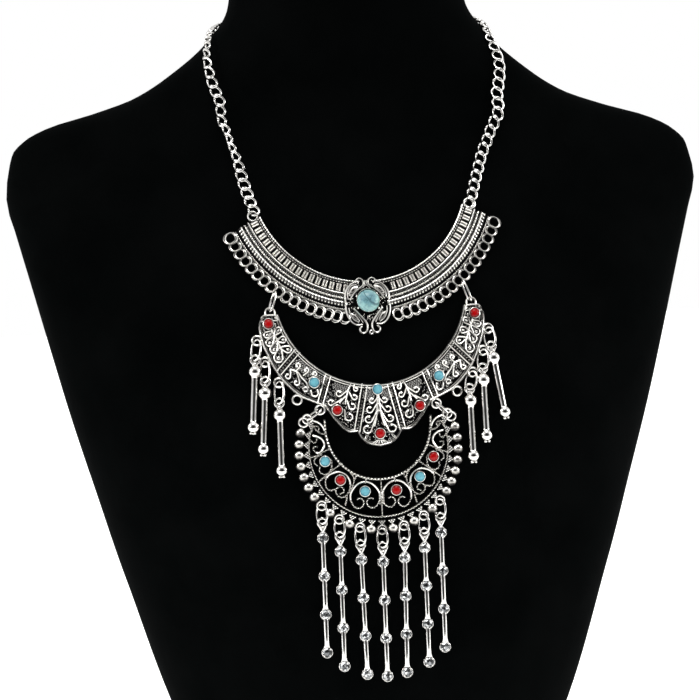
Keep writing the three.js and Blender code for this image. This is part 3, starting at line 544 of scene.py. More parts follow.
def velvet_shader(tree):
    """Short black cotton pile on a hard form: it swallows light, and shows only a breath of grey
    where the pile turns its sides to the eye or was brushed another way."""
    brushed = add(tree, "ShaderNodeTexNoise", sized(tree, 38, 3.0))
    # The tufts of the pile, drawn coarser than they are so that they show.
    pile = add(tree, "ShaderNodeTexNoise", sized(tree, 0.45, 2.0, 0.8))
    nap = add(tree, "ShaderNodeMath", [brushed, pile], operation="ADD")
    tone = add(tree, "ShaderNodeMapRange", [nap, 0.7, 1.3])
    return add(tree, "ShaderNodeBsdfPrincipled", {
        "Base Color": add(tree, "ShaderNodeValToRGB", [tone], stops=[(0.0, "#020303"), (1.0, "#060707")]),
        "Roughness": 1.0, "Specular IOR Level": 0.01,
        "Sheen Weight": 0.01, "Sheen Roughness": 0.4, "Sheen Tint": linear("#8a8f92"),
        "Normal": add(tree, "ShaderNodeBump", {"Height": pile, "Distance": 0.12 * MM})})


def cabochon_shader(tree):
    """Dyed magnesite sold as turquoise, ground to a low dome: greenish and mottled at its edge,
    blue-grey in the middle, with dark veins and a waxy gloss. The main vein runs along
    z = x (0.255 x - 1.25), in millimetres about the middle, and wanders with the clouds."""
    edge = add(tree, "ShaderNodeAttribute", output="Fac", attribute_name="tarnish")
    cloud = add(tree, "ShaderNodeTexNoise", sized(tree, 3.2, 5.0))
    mottle = add(tree, "ShaderNodeMapRange", [cloud, 0.3, 0.7, 0, 0.55])
    rim = add(tree, "ShaderNodeMath", [edge, 0.5], operation="MULTIPLY")
    mixed = add(tree, "ShaderNodeMath", [mottle, rim], operation="ADD")
    colour = add(tree, "ShaderNodeValToRGB", [mixed],
                 stops=[(0.0, "#4c737c"), (0.3, "#749fa8"), (0.62, "#9cc7c6"), (1.0, "#7fac9e")])
    # Fine veins lie where a wandering noise crosses its middle: 2.4 v (1 - v) of a narrow step v.
    crossing = add(tree, "ShaderNodeTexNoise", {**sized(tree, 5.5, 6.0), "Distortion": 1.2})
    step = add(tree, "ShaderNodeMapRange", [crossing, 0.485, 0.515])
    rest = add(tree, "ShaderNodeMath", [1.0, step], operation="SUBTRACT")
    hump = add(tree, "ShaderNodeMath", [step, rest], operation="MULTIPLY")
    fine = add(tree, "ShaderNodeMath", [hump, 2.4], operation="MULTIPLY")
    away = add(tree, "ShaderNodeVectorMath", [add(tree, "ShaderNodeTexCoord", output="Object"),
                                              np.mean(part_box("cabochon"), axis=0).tolist()],
               operation="SUBTRACT")
    x, z = (add(tree, "ShaderNodeMath", [add(tree, "ShaderNodeSeparateXYZ", [away], axis), 1 / MM],
                operation="MULTIPLY") for axis in "XZ")
    bent = add(tree, "ShaderNodeMath", [x, 0.255], operation="MULTIPLY")
    leaning = add(tree, "ShaderNodeMath", [bent, 1.25], operation="SUBTRACT")
    course = add(tree, "ShaderNodeMath", [x, leaning], operation="MULTIPLY")
    apart = add(tree, "ShaderNodeMath", [z, course], operation="SUBTRACT")
    sway = add(tree, "ShaderNodeMapRange", [cloud, 0.3, 0.7, -0.7, 0.7])
    off = add(tree, "ShaderNodeMath", [apart, sway], operation="ADD")
    distance = add(tree, "ShaderNodeMath", [off], operation="ABSOLUTE")
    seam = add(tree, "ShaderNodeMapRange", [distance, 0.15, 0.75, 0.75, 0])
    vein = add(tree, "ShaderNodeMath", [seam, fine], operation="MAXIMUM")
    veined = add(tree, "ShaderNodeMix", {0: vein, 6: colour, 7: linear("#41626c")}, 2, data_type="RGBA")
    return add(tree, "ShaderNodeBsdfPrincipled", {
        "Base Color": veined, "Roughness": 0.2, "Specular IOR Level": 0.35,
        "Subsurface Weight": 0.05, "Subsurface Scale": 1 * MM,
        "Normal": add(tree, "ShaderNodeBump", {"Height": cloud, "Distance": 0.02 * MM})})


def resin_shader(low, high, spot_colour):
    """Small pressed stones of dyed resin: an even strong colour, a shade deeper in clouds, painted
    shade that darkens it towards the rim, a few pin-sized specks and a wet gloss."""
    def build(tree):
        """The shader in this resin's own colours."""
        cloud = add(tree, "ShaderNodeTexNoise", sized(tree, 1.6))
        pin = add(tree, "ShaderNodeTexNoise", sized(tree, 0.5, 2.0))
        # The edge value, 1 at the rim, drives painted shade: the colour darkens towards the stone's rim.
        edge = add(tree, "ShaderNodeAttribute", output="Fac", attribute_name="tarnish")
        deep = add(tree, "ShaderNodeMath", [edge, 0.75], operation="MULTIPLY")
        pale = add(tree, "ShaderNodeMapRange", [cloud, 0.3, 0.7, 0.6, 1])
        tone = add(tree, "ShaderNodeMath", [pale, deep], operation="SUBTRACT")
        colour = add(tree, "ShaderNodeValToRGB", [tone], stops=[(0.0, low), (1.0, high)])
        speck = add(tree, "ShaderNodeMapRange", [pin, 0.66, 0.72])
        mixed = add(tree, "ShaderNodeMix", {0: speck, 6: colour, 7: linear(spot_colour)}, 2, data_type="RGBA")
        return add(tree, "ShaderNodeBsdfPrincipled", {
            "Base Color": mixed, "Roughness": 0.16, "Specular IOR Level": 0.22,
            "Normal": add(tree, "ShaderNodeBump", {"Height": cloud, "Distance": 0.01 * MM})})
    return build


def crystal_shader(tree):
    """Machine-cut glass with a foiled back, a bright mirror whose colour holds painted reflections:
    cells about a facet across are painted as a white glint, a grey or a nearly black facet."""
    # Painted glints and dark reflections: a random shade for each cell, from near black to white.
    painted_glint = add(tree, "ShaderNodeTexVoronoi", {**sized(tree, 0.85, 0.0), "Randomness": 0.9}, "Color")
    colour = add(tree, "ShaderNodeValToRGB", [painted_glint], blend="LINEAR",
                 stops=[(0.0, "#0f1011"), (0.4, "#3f4143"), (0.6, "#8f9193"), (0.88, "#f7f8f8")])
    return add(tree, "ShaderNodeBsdfPrincipled", {
        "Base Color": colour, "Metallic": 1.0, "Roughness": 0.06,
        "Coat Weight": 0.6, "Coat Roughness": 0.02})


SILVER = material("antique_silver", silver_shader)
BRIGHT = material("polished_silver", polished_shader)
VELVET = material("black_velvet", velvet_shader)
CABOCHON = material("veined_turquoise", cabochon_shader)
TURQUOISE = material("turquoise_resin", resin_shader("#2f6a7c", "#74bccb", "#3a8093"))
RED = material("coral_red_resin", resin_shader("#4a0204", "#b40d10", "#5f0508"))
CRYSTAL = material("foiled_crystal", crystal_shader)


# ---- Pieces ----

def piece(name, shapes, finish, slot, *nodes, sharp=40, flat=False):
    """An object of the joined shapes, in metres. It rides on the one body and stands for nodes."""
    points, faces, tarnish = join(shapes)
    mesh = bpy.data.meshes.new(name)
    sizes = np.concatenate([np.full(len(f), f.shape[1]) for f in faces])
    corners = np.concatenate([f.ravel() for f in faces])
    mesh.vertices.add(len(points))
    mesh.vertices.foreach_set("co", (points * MM).ravel())
    mesh.loops.add(len(corners))
    mesh.loops.foreach_set("vertex_index", corners.astype(np.int32))
    mesh.polygons.add(len(sizes))
    mesh.polygons.foreach_set("loop_start", np.concatenate([[0], np.cumsum(sizes)[:-1]]).astype(np.int32))
    mesh.polygons.foreach_set("use_smooth", np.full(len(sizes), not flat))
    mesh.update(calc_edges=True)
    mesh.attributes.new("tarnish", "FLOAT", "POINT").data.foreach_set("value", tarnish)
    if not flat and sharp:
        mesh.set_sharp_from_angle(angle=math.radians(sharp))
    mesh.materials.append(finish)
    made = bpy.data.objects.new(name, mesh)
    bpy.context.scene.collection.objects.link(made)
    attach(made, "root")
    if nodes:
        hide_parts(*nodes)
    return made


def box_of(node):
    """A CAD node's lowest and highest corners in millimetres."""
    return [np.array(corner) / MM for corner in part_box(node)]


def flat_place(node):
    """Where a CAD node on the chest lies in the flat: its middle, less the way out of the velvet by
    which it stands off more than SEEN_LIFT."""
    middle = np.mean(box_of(node), axis=0)
    turn = turn_at(middle[0], middle[2])
    way = outwards(turn, middle[2])
    lift = (middle - bust_point(turn, middle[2])) @ way
    x, _, z = middle - (lift - SEEN_LIFT) * way
    return x, z


# ---- Bust ----

def bust():
    """Sections of the form at even turns, close together where its shape changes, with a rolled
    lower edge and a top that is drawn in to the middle."""
    heights = np.concatenate([[0, 0.8, 1.8, 3, 6], np.arange(12, 246, 6), np.arange(246, 327.1, 1.8),
                              [328.6, 330]])
    rows = bust_point(np.arange(0, 360, 3.0)[None, :], heights[:, None])
    low = rows[0] * (0.9, 0.9, 1)
    top = [rows[-1] * (share, share, 1) for share in (0.97, 0.85, 0.5)]
    return skin(np.concatenate([low[None], rows, top]))


piece("bust_velvet", [bust()], VELVET, "velvet", "neck_bust", sharp=70)


# ---- Neck chain ----

LINK_PITCH, LINK_SLANT = 4.05, 31.0


def curb_link():
    """One link: an oval with along = 2.75 cos t, across = 1.9 sin t, leaned in its plane, and its
    two arms crossed by up = -0.75 sin 2t so that they lie in the neighbouring links."""
    t = full_turn(18)
    along, across, up = 2.75 * np.cos(t), 1.9 * np.sin(t), -0.75 * np.sin(2 * t)
    c, s = math.cos(math.radians(LINK_SLANT)), math.sin(math.radians(LINK_SLANT))
    line = np.column_stack([along * c - across * s, along * s + across * c, up])
    return tube(line, 0.5, 7, True, tarnish=0.35)


def chain(side, sign):
    """Links along the chain's route, each set by the route's direction and the way out of the
    velvet, rolled about the route as a slack chain lies, and lifted as far as its roll needs."""
    heights, turns, _ = bend(CHAIN_ROUTE[:, [0, side]], 0.3).T
    velvet = on_bust(sign * turns, heights, 0 * heights)
    line = even(np.hstack([velvet, outwards(sign * turns, heights)]), LINK_PITCH)
    line, out = line[:, :3], line[:, 3:]
    gone = np.minimum(np.arange(len(line)) * LINK_PITCH, CHAIN_ROLL[-1, 0])
    roll = np.radians(table_value(CHAIN_ROLL, side, gone))[:, None]
    line = line + out * (1.15 + 1.9 * np.sin(roll))
    along = unit(np.gradient(line, axis=0))
    across = unit(np.cross(out, along))
    up = np.cross(along, across) * np.cos(roll) + across * np.sin(roll)
    axes = np.stack([along, np.cross(up, along), up], 1)
    link = curb_link()
    return [copies(link, link[0] @ axes + line[:, None])]


piece("curb_chain_left", chain(1, -1), BRIGHT, "silver", "neck_chain_left", sharp=0)
piece("curb_chain_right", chain(2, 1), BRIGHT, "silver", "neck_chain_right", sharp=0)


def clasp():
    """A barrel clasp behind the neck: a turned body with a rim at each end and a ring on each."""
    low, high = box_of("clasp")
    overhang = 1.4
    middle, half = (low + high) / 2, (high[0] - low[0]) / 2 - overhang
    end = [(2.25, 1.2), (1.9, half - 1.3), (2.3, half - 1), (2.3, half), (1.5, half), (0.7, half + 0.5)]
    profile = [*((radius, -along) for radius, along in end[::-1]), (2.4, -0.3), (2.1, 0), (2.4, 0.3), *end]
    body = moved(lathe(profile, 24), lambda p: p[:, [2, 1, 0]] * (1, -1, 1) + middle)
    t = full_turn(20)
    ring = np.column_stack([1.5 * np.cos(t), 0 * t, 1.5 * np.sin(t)]) + middle
    rings = [tube(ring + (side * (half + overhang), 0, 0), 0.4, 6, True, (0, 1, 0)) for side in (-1, 1)]
    return [outward(*body), *rings]


piece("barrel_clasp", clasp(), BRIGHT, "silver", "clasp", sharp=50)


# ---- Upper crescent ----

UPPER_PROFILE = np.array([  # across from the inner edge, height, tarnish, share of the milling
    (0, 0.4, 0.7, 0), (0, 1.45, 0.4, 0), (0.1, 1.75, 0.05, 0.4), (0.35, 1.85, 0, 0.8),
    (0.6, 1.7, 0.2, 0.4), (0.7, 1.35, 0.9, 0), (0.95, 1.3, 1, 0), (1.05, 1.5, 0.5, 0.6),
    (1.25, 1.58, 0.25, 1), (1.45, 1.5, 0.5, 0.6), (1.6, 1.15, 1, 0), (1.8, 1, 1, 0),
    # The bed of the bars and the plain ridge outside it.
    (3.4, 1, 1, 0), (5.05, 1.05, 1, 0), (5.2, 1.5, 0.5, 0), (5.35, 1.9, 0, 0), (5.6, 1.98, 0, 0),
    (5.85, 1.9, 0, 0), (6, 1.5, 0.6, 0), (6.1, 1.1, 1, 0), (6.75, 1.1, 1, 0), (6.85, 1.5, 0.5, 0.3),
    (7.05, 1.85, 0.05, 0.6), (7.25, 1.92, 0, 0.8), (7.45, 1.85, 0.05, 0.6), (7.65, 1.5, 0.6, 0.3),
    # The wide roll and the step at the outer edge, and the back.
    (7.75, 1.1, 1, 0), (8.25, 1.1, 1, 0), (8.4, 1.6, 0.5, 0), (8.6, 2, 0.05, 0.2), (8.9, 2.2, 0, 0.3),
    (9.3, 2.25, 0.25, 1), (9.8, 2.15, 0.35, 1), (10.25, 1.85, 0.45, 1), (10.5, 1.5, 0.8, 0.4),
    (10.6, 1.2, 1, 0), (11.2, 1.2, 1, 0), (11.35, 1.45, 0.6, 0), (11.6, 1.5, 0.5, 0),
    (11.85, 1.4, 0.5, 0), (12, 1.2, 0.6, 0), (12, 0, 1, 0), (6, 0, 1, 0), (0, 0, 1, 0)])
UPPER_ENDS = np.array([  # across from the inner edge, degrees by which a line runs past UPPER_END
    (0, 0.9), (1.8, 0.9), (2, 0.5), (6.1, 0.4), (6.7, 0.1), (8.4, 0), (9.6, -0.3), (10.7, -0.4),
    (12.1, -0.6)])
BAR_RADIUS, FRINGE_RADIUS, FRINGE_COUNT = 3.35 + UPPER_INNER, 57.3, 17
GRAIN_ROWS = [  # across from the inner edge, height, radius of a granule, end of the row in degrees
    (6.42, 1.2, 0.25, 67.6), (7.25, 1.75, 0.32, 67.3), (8, 1.2, 0.2, 67), (11.6, 1.5, 0.4, 67)]


def upper_band():
    """The rolled band: its profile carried round the arc, each line of it to its own end, with
    fine milling, 40 waves to the radian, that raises the ridges by 0.08 sin of the way along and
    stays dark in its furrows."""
    across, up, dark, mill = UPPER_PROFILE.T
    share = np.linspace(-1, 1, 541)[:, None]
    angle = np.radians(share * (UPPER_END + np.interp(across, *UPPER_ENDS.T)))
    wave = np.sin(angle * 2 * np.pi * 40)
    rows = around(UPPER_Z, UPPER_INNER + across, angle, up + 0.08 * mill * wave)
    caps = [rows[k].mean(0) * (1, 1, 0) + (0, 0, 0.5) for k in (0, -1)]
    return skin(rows, tarnish=np.clip(dark + 0.35 * mill * (0.3 - wave), 0, 1), caps=caps)


def ladder_bars():
    """Two raised bars side by side, waisted and roofed like pillows: stacked oblongs whose long
    sides come in by 0.08 in the middle, each narrower than the one below."""
    def oblong(wide, long, up):
        """Its four corners and the middle of each long side."""
        x = np.array([wide, wide - 0.16, wide, -wide, 0.16 - wide, -wide]) / 2
        z = np.array([-long, 0, long, long, 0, -long]) / 2
        return np.column_stack([x, z, np.full(6, up)])
    layers = [oblong(1.05, 3.1, 0.8), oblong(1, 3.05, 1.5), oblong(0.8, 2.85, 2.0), oblong(0.25, 2.5, 2.25)]
    bar = skin(layers, tarnish=np.array([1, 0.15, 0, 0])[:, None])
    return stamp(bar, [(-0.56, 0, 0), (0.56, 0, 0)])


def along_upper(form, radius, up, angles, sizes=1.0):
    """Copies of a form round the crescent at angles in degrees, each turned with its place."""
    turns = np.radians(angles)
    return stamp(form, around(UPPER_Z, radius, turns, up), turns, sizes)


def fringe_link(side):
    """A ring of the fringe: it is tipped so that it laps over the one before it, and is soldered
    to a second, thinner ring that shows outside it."""
    t = full_turn(22)
    first = np.column_stack([2.1 * np.sin(t), 2.1 * np.cos(t), -side * 0.6 * np.sin(t)])
    second = first * (0.97, 1, 1) + (side * 0.4, -0.5, -0.5)
    return join([tube(first, 0.26, 6, True, tarnish=0.4), tube(second, 0.15, 5, True, tarnish=0.5)])


def upper_crescent():
    """The band with its bars, rows of granules, fringe and the eyes at its ends; the steps
    along the arc are even in degrees, or in length for the granules."""
    made = [upper_band()]
    step = np.arange(FRINGE_COUNT)
    for side in (-1, 1):
        made.append(along_upper(ladder_bars(), BAR_RADIUS, 0, side * (11.7 + 3.457 * step)))
        for across, up, size, stop in GRAIN_ROWS:
            pitch = math.degrees(0.86 / (UPPER_INNER + across))
            places = side * np.arange(9.5, stop, pitch)
            made.append(along_upper(GRANULE, UPPER_INNER + across, up, places, size))
    for side in (-1, 1):
        places, sizes = side * (66.3 - 3.5 * step), np.where(step == 0, 1.14, 1)
        made.append(along_upper(fringe_link(side), FRINGE_RADIUS, 1.15, places, sizes))
    made += both([round_wire(43.3, 224.6, 1.85, 0.4)])
    return moved(join(made), lambda p: tilt(p, UPPER_TILT, UPPER_RISE))


MEDALLION_RIBS = [  # of the right half: thickness, height, line
    # An open hook on top whose rib runs down in front of the stone's shoulder.
    (0.31, 3.0, [(3.1, 6.8), (3.8, 7.8), (2.5, 8.6), (1.2, 7.9), (0.95, 6.6), (1.5, 5.6), (2.8, 4.7),
                 (4.2, 3.6), (5.7, 2.1), (6.6, 0.6)]),
    (0.24, 2.85, [(0.3, 7.6), (0.5, 6.2), (1.2, 5.0)]),
    # An outer arc round the upper leaf that ends in a knob, and a fine line inside it.
    (0.42, 2.85, [(3.1, 7.1), (5.0, 6.9), (6.8, 5.65), (8.1, 4.0), (8.7, 1.9), (8.6, -0.2)]),
    (0.22, 2.85, [(3.7, 6.2), (5.5, 6.0), (6.9, 4.6), (7.6, 2.7), (7.5, 0.9)]),
    # A lower arc, its inner line, and the long rib that ends in an open curl.
    (0.34, 2.85, [(8.7, -1.6), (8.75, -3.2), (8.4, -5.2), (7.5, -7.2), (6.2, -8.7), (4.6, -9.35),
                  (3.0, -9.2)]),
    (0.2, 2.85, [(7.5, -2.6), (7.2, -5.0), (6.0, -7.2), (4.3, -8.3)]),
    (0.4, 3.0, [(5.5, -3.2), (4.05, -4.95), (2.45, -6.85), (1.15, -8.7), (0.9, -10.3), (1.4, -11.9),
                (2.6, -12.6), (3.65, -12.1), (4.0, -11.0), (3.2, -10.1)]),
    (0.2, 2.85, [(4.9, -4.9), (3.4, -6.9), (2.6, -8.4)])]
PLATE_TOP, GRAIN_COUNT, STONE_OFF = 2.5, 150, 0.35


def medallion():
    """The ornament over the middle of the upper crescent, about the cabochon's middle: a turned
    plate with grain strewn over it, ribs and leaves on it, and the stone's collar and claws."""
    plate = lathe([(9.2, 0.4), (9.1, 2.0), (8.4, 2.4), (5, PLATE_TOP), (2, PLATE_TOP)], 28, 1.0)
    made = [moved(plate, lambda p: p * (0.9, 1, 1) + (0, -0.9, 0))]
    for s in (-1, 1):
        made.append(leaf(s * 5.2, 4.2, 5.8, 2.6, -s * 48, 2.45, 0.7))
        made.append(leaf(s * 5.4, -6.2, 5.4, 2.0, s * 42, 2.45, 0.5))
        made += [wire(np.array(line) * (s, 1), thick, up, sides=7, tarnish=0.8)
                 for thick, up, line in MEDALLION_RIBS]
        made.append(stamp(BEAD, [(s * 8.3, -0.9, 2.9)], sizes=0.6))
    rng = np.random.default_rng(11)
    turn = rng.uniform(0, 2 * np.pi, GRAIN_COUNT)
    reach = np.sqrt(rng.uniform(5.2 ** 2, 7.9 ** 2, GRAIN_COUNT))
    grain = np.column_stack([0.92 * reach * np.cos(turn), reach * np.sin(turn) - 0.4,
                             np.full(GRAIN_COUNT, PLATE_TOP)])
    made.append(stamp(GRANULE, grain, sizes=rng.uniform(0.18, 0.36, GRAIN_COUNT)))
    made.append(moved(bezel(0, 0, 4.42, 2.9, 28, 0.16), lambda p: p + (STONE_OFF, 0, 0)))
    claws = [(3.9, 2.3, 3.4), (4.2, -3.4, 3.4), (-3.9, -2.9, 3.4), (-4.1, 1.6, 3.4)]
    made.append(stamp(BEAD, claws, sizes=0.42))
    made.append(stamp(GRANULE, [(0.4, -6, 2.8), (-0.5, -6.9, 2.7), (1.3, -6.8, 2.7), (0.4, -7.6, 2.7)],
                      sizes=[0.55, 0.4, 0.4, 0.35]))
    made.append(round_wire(0.5, -12.3, 0.68, 0.32, 2.6, 7, 0.5))
    return moved(join(made), lambda p: p - (STONE_OFF, 0, 0))


def medallion_place(shape):
    """Sets the medallion about the CAD cabochon's middle, turned as the crescent is."""
    x, z = flat_place("cabochon")
    x0, z0, _ = tilt((x, z, 0), UPPER_TILT)
    return moved(shape, lambda p: tilt(p + (x, z, 0), UPPER_TILT) + (x - x0, z - z0, 0))


flat_upper = join([upper_crescent(), medallion_place(medallion())])
piece("upper_crescent_silver", [moved(flat_upper, on_chest)], SILVER, "silver", "upper_crescent")

dome = lathe([(4.3, -0.5), (4.5, 0.1), (4.42, 0.7), (4.0, 1.45), (3.1, 2.2), (1.9, 2.62), (0.8, 2.75)], 14,
             (1, 1, 0.9, 0.7, 0.4, 0.1, 0))
dome = medallion_place(moved(dome, lambda p: p * (1, 0.95, 1) + (0, -0.3, 2.9)))
piece("turquoise_cabochon", [moved(dome, on_chest)], CABOCHON, "cabochon_stone", "cabochon", sharp=0)


# ---- Middle crescent ----

def middle_outer(angle):
    """The outer radius at an angle: a smooth curve in each lobe, with a corner between lobes."""
    angle = np.abs(angle)
    radius = np.zeros_like(angle)
    for lobe in MIDDLE_LOBES:
        table = np.array(lobe, float)
        inside = (angle >= table[0, 0]) & (angle <= table[-1, 0])
        radius = np.where(inside, table_value(table, 1, np.clip(angle, table[0, 0], table[-1, 0])), radius)
    return radius


INNER_RIM = [  # out from the inner edge, height, tarnish
    (0, 0.3, 0.7), (0, 1.5, 0.2), (0.2, 1.9, 0), (0.5, 1.95, 0), (0.72, 1.75, 0.2), (0.84, 1.3, 1),
    (1.05, 1.3, 1), (1.15, 1.62, 0.3), (1.35, 1.75, 0), (1.55, 1.6, 0.3), (1.7, 1.15, 0.9)]
OUTER_RIM = [  # in from the outer edge, height, tarnish
    (1.5, 1.15, 0.9), (1.4, 1.4, 0.4), (1.27, 1.5, 0.1), (1.14, 1.4, 0.4), (1.06, 1.2, 1),
    (0.96, 1.2, 1), (0.86, 1.6, 0.3), (0.62, 1.93, 0), (0.35, 2.0, 0), (0.12, 1.8, 0.05),
    (0, 1.35, 0.4), (0, 0, 1)]
BED_UP = 1.12


def middle_band():
    """The plate: two rims with a groove in each, and a sunk bed between them that is carried
    round the arc from the inner circle to the lobed outer edge. Every line of it ends level."""
    notches = [side * notch for notch in NOTCHES for side in (-1, 1)]
    angle = np.unique(np.concatenate([np.linspace(-MIDDLE_SPAN, MIDDLE_SPAN, 317), notches]))[:, None]
    outer = middle_outer(angle)
    low, high = MIDDLE_INNER + INNER_RIM[-1][0], outer - OUTER_RIM[0][0]
    columns = [(MIDDLE_INNER + a + 0 * outer, up, dark) for a, up, dark in INNER_RIM]
    columns += [(low + (high - low) * k / 6, BED_UP, 1.0) for k in range(1, 6)]
    columns += [(outer - a, up, dark) for a, up, dark in OUTER_RIM]
    columns += [(MIDDLE_INNER + 0 * outer, 0, 1)]
    radius = np.concatenate([column[0] for column in columns], axis=1)
    up, dark = (np.array([column[k] for column in columns])[None] + 0 * outer for k in (1, 2))
    level_end = np.arccos((MIDDLE_Z - MIDDLE_TOP) / radius)
    near_end = np.clip((np.abs(angle) - LEVEL_FROM) / (MIDDLE_SPAN - LEVEL_FROM), 0, 1)
    turn = np.sign(angle) * (np.radians(np.abs(angle)) * (1 - near_end) + level_end * near_end)
    rows = around(MIDDLE_Z, radius, turn, up)
    caps = [rows[k].mean(0) * (1, 1, 0) + (0, 0, 0.6) for k in (0, -1)]
    return skin(rows, tarnish=dark, caps=caps)


def beaded_bar(low, high):
    """Two raised lines with a row of granules between them, on a dark ground."""
    width, up = 2.15, 1.55
    low, high = np.array(low, float), np.array(high, float)
    way = unit(high - low)
    side = np.array([-way[1], way[0]]) * width / 2
    middle = np.column_stack([np.linspace(low, high, 4), np.full(4, 1.15)])
    ground = tube(middle, 1.2, squash=0.3, tarnish=1.0)
    dots = stamp(GRANULE, bend([low, high], 1.3)[1:-1] + (0, 0, up + 0.1), sizes=0.52)
    return [ground, dots, *(wire([low + s * side, high + s * side], 0.3, up) for s in (1, -1))]


BEADED_BARS = [  # inner end, outer end
    ((30.2, 171.2), (38, 163.1)), ((19, 160.9), (22.7, 150.4)), ((4.9, 156.8), (9, 138.8))]
STEMS = [
    [(39.7, 179.9), (39.2, 178.3), (38.4, 177), (37.4, 174.6), (36.8, 172.4)],
    [(33.4, 164.2), (30.8, 163), (29.3, 160.8), (27.5, 158.6), (26.9, 157)],
    [(10.4, 157.0), (11.4, 155.3), (12.4, 152.1), (12.9, 149.8)], [(12.9, 152.6), (15.2, 150.4)],
    [(0.2, 152.6), (0.4, 149.5), (0.9, 145), (2.0, 140.6)],
    # A cup of wire under the second panel's stone.
    [(26.1, 155.6), (25.7, 153.8), (24.4, 153.2), (23.3, 154.2), (23.5, 155.8)]]
DROPS = [  # root, middle, radius
    ((38.8, 177.8), (37.1, 179.6), 1.15), ((37.7, 175.4), (35.6, 175.9), 1.25),
    ((36.8, 172.8), (33.9, 172.0), 1.35), ((39.5, 179.4), (41.7, 178), 1.15),
    ((38.9, 177.6), (40.9, 174.9), 1.35), ((37.9, 175.6), (39.4, 172.2), 1.4),
    ((36.8, 173), (37.8, 168.8), 1.7)]
CURLS = [  # root, middle, radius, side
    ((0.2, 151.6), (2.5, 150.5), 1.05, 1), ((0.4, 149.4), (3.6, 147), 1.25, 1),
    ((0.6, 146.6), (4.2, 143.3), 1.45, 1), ((0.9, 144.8), (4.9, 139.5), 1.65, 1),
    ((11.3, 154.4), (9.2, 152.2), 1.05, -1), ((12.2, 151), (10.3, 148.7), 1.3, -1),
    ((13.4, 147.3), (11.8, 144.7), 1.6, -1), ((11.7, 155), (15.2, 153.9), 1.15, 1),
    ((14.4, 151.6), (18.5, 150.6), 1.15, 1), ((31, 163), (31.3, 158.9), 1.05, 1),
    ((33.4, 164), (34.6, 161.6), 1.0, 1), ((28.6, 161.6), (27.2, 163.6), 0.85, -1),
    ((31.4, 163.4), (30.4, 165.6), 0.85, -1), ((26.4, 160.2), (24.2, 162), 0.85, -1),
    ((9.1, 156.8), (8.5, 155.2), 0.8, -1)]
LEAVES = [  # x, z, length, width, lean, low, crown
    (0.3, 148, 4.6, 1.5, 0, 1.2, 0.8), (42.7, 180.9, 3.4, 1.2, 6, 1.15, 0.5),
    (38.4, 181.4, 2.6, 1.2, -20, 1.15, 0.4), (3, 155.4, 2.2, 1.3, 80, 1.15, 0.4),
    (5.3, 136.4, 3, 1.2, -40, 1.15, 0.5), (17.4, 147.2, 2.6, 1.1, -50, 1.15, 0.4)]
PATCHES = [  # angle, out from the inner edge, length, width
    (42, 3.4, 10.5, 3.8), (21, 3.4, 6.4, 3.6), (32.5, 3.2, 5.0, 3.2), (5, 4.4, 5.0, 5.0)]


def horn_end():
    """The middle crescent's horn: a rim round a row of granules and a line, and the loop above."""
    granule_row = np.column_stack([np.linspace(38.2, 42.6, 5), np.full(5, 184.4), np.full(5, 1.5)])
    return [wire([(37.1, 183.8), (37.6, 185.1), (38.6, 185.5), (42, 185.5), (43.1, 184.9), (43.7, 183.4)],
                 0.36, 1.6),
            wire([(37.3, 183.3), (40.6, 183.5), (43.6, 183.2)], 0.24, 1.55),
            stamp(GRANULE, granule_row, sizes=0.38),
            wire([(38.1, 185.4), (38, 187), (38.8, 188.1), (39.9, 188.4), (41, 188.1), (41.7, 187),
                  (41.6, 185.4)], 0.42, 1.1)]


def middle_relief():
    """The right half's vine work: stems, teardrops, hooks and worn patches of the ground."""
    made = [wire(line, 0.38, 1.6) for line in STEMS]
    for bar in BEADED_BARS:
        made += beaded_bar(*bar)
    for drop in DROPS:
        made += drop_loop(*drop)
    for values in CURLS:
        made += curl(*values)
    # An eye at the foot of the second panel's stem, and rays below the lowest stone.
    made.append(round_wire(28.1, 156.2, 0.85, 0.38, 1.6))
    made += [wire([(x * 0.35, 134.9), (x, 133.6)], 0.24, 1.5) for x in (0.7, 2.1, 3.5)]
    made += [leaf(*values) for values in LEAVES] + [patch(*values) for values in PATCHES]
    made += [round_wire(x, z, 1.8, 0.45) for x, z in RIM_LOOPS]
    return made + horn_end()


def speckle(count, size):
    """Punched specks on the bed between the rims: the share of the way out is the square root of
    an even draw, and so they lie about evenly over its area."""
    rng = np.random.default_rng(5)
    angle = rng.uniform(-75, 75, count)
    share = np.sqrt(rng.uniform(0, 1, count))
    radius = MIDDLE_INNER + 2 + share * (middle_outer(angle) - MIDDLE_INNER - 4)
    places = around(MIDDLE_Z, radius, np.radians(angle), BED_UP)
    return stamp(GRAIN, places, sizes=rng.uniform(0.7, 1.3, count) * size)


def small_stone(row, number, top, reds, turn=0.0):
    """A round pressed stone, domed like a button, in its bezel; returns the bezel."""
    node = f"{row}_stone_{number}"
    x, z, _ = tilt((*flat_place(node), 0), turn)
    # The last numbers are the edge value that the resin's painted shade darkens towards the rim.
    form = lathe([(1.9, -0.4), (2.0, 0.1), (1.9, 0.65), (1.5, 1.15), (0.9, 1.48), (0.3, 1.6)], 18,
                 (1, 1, 0.8, 0.4, 0.1, 0))
    finish, slot = (RED, "red_stone") if number in reds else (TURQUOISE, "turquoise_stone")
    piece(f"stone_{row}_{number}", [moved(stamp(form, [(x, z, top)]), on_chest)], finish, slot, node, sharp=0)
    return bezel(x, z, 2.0, top)


middle_bezels = [small_stone("middle", n, 1.9, (1, 3, 4, 6, 8), MIDDLE_TILT) for n in range(1, 9)]
lower_bezels = [small_stone("lower", n, 1.5, (2, 4, 6)) for n in range(1, 7)]
flat_middle = join([middle_band(), *both(middle_relief()), speckle(1700, 0.3)])
flat_middle = join([moved(flat_middle, lambda p: tilt(p, MIDDLE_TILT)), *middle_bezels])
piece("middle_crescent_silver", [moved(flat_middle, on_chest)], SILVER, "silver", "middle_crescent")


# ---- Lower crescent ----

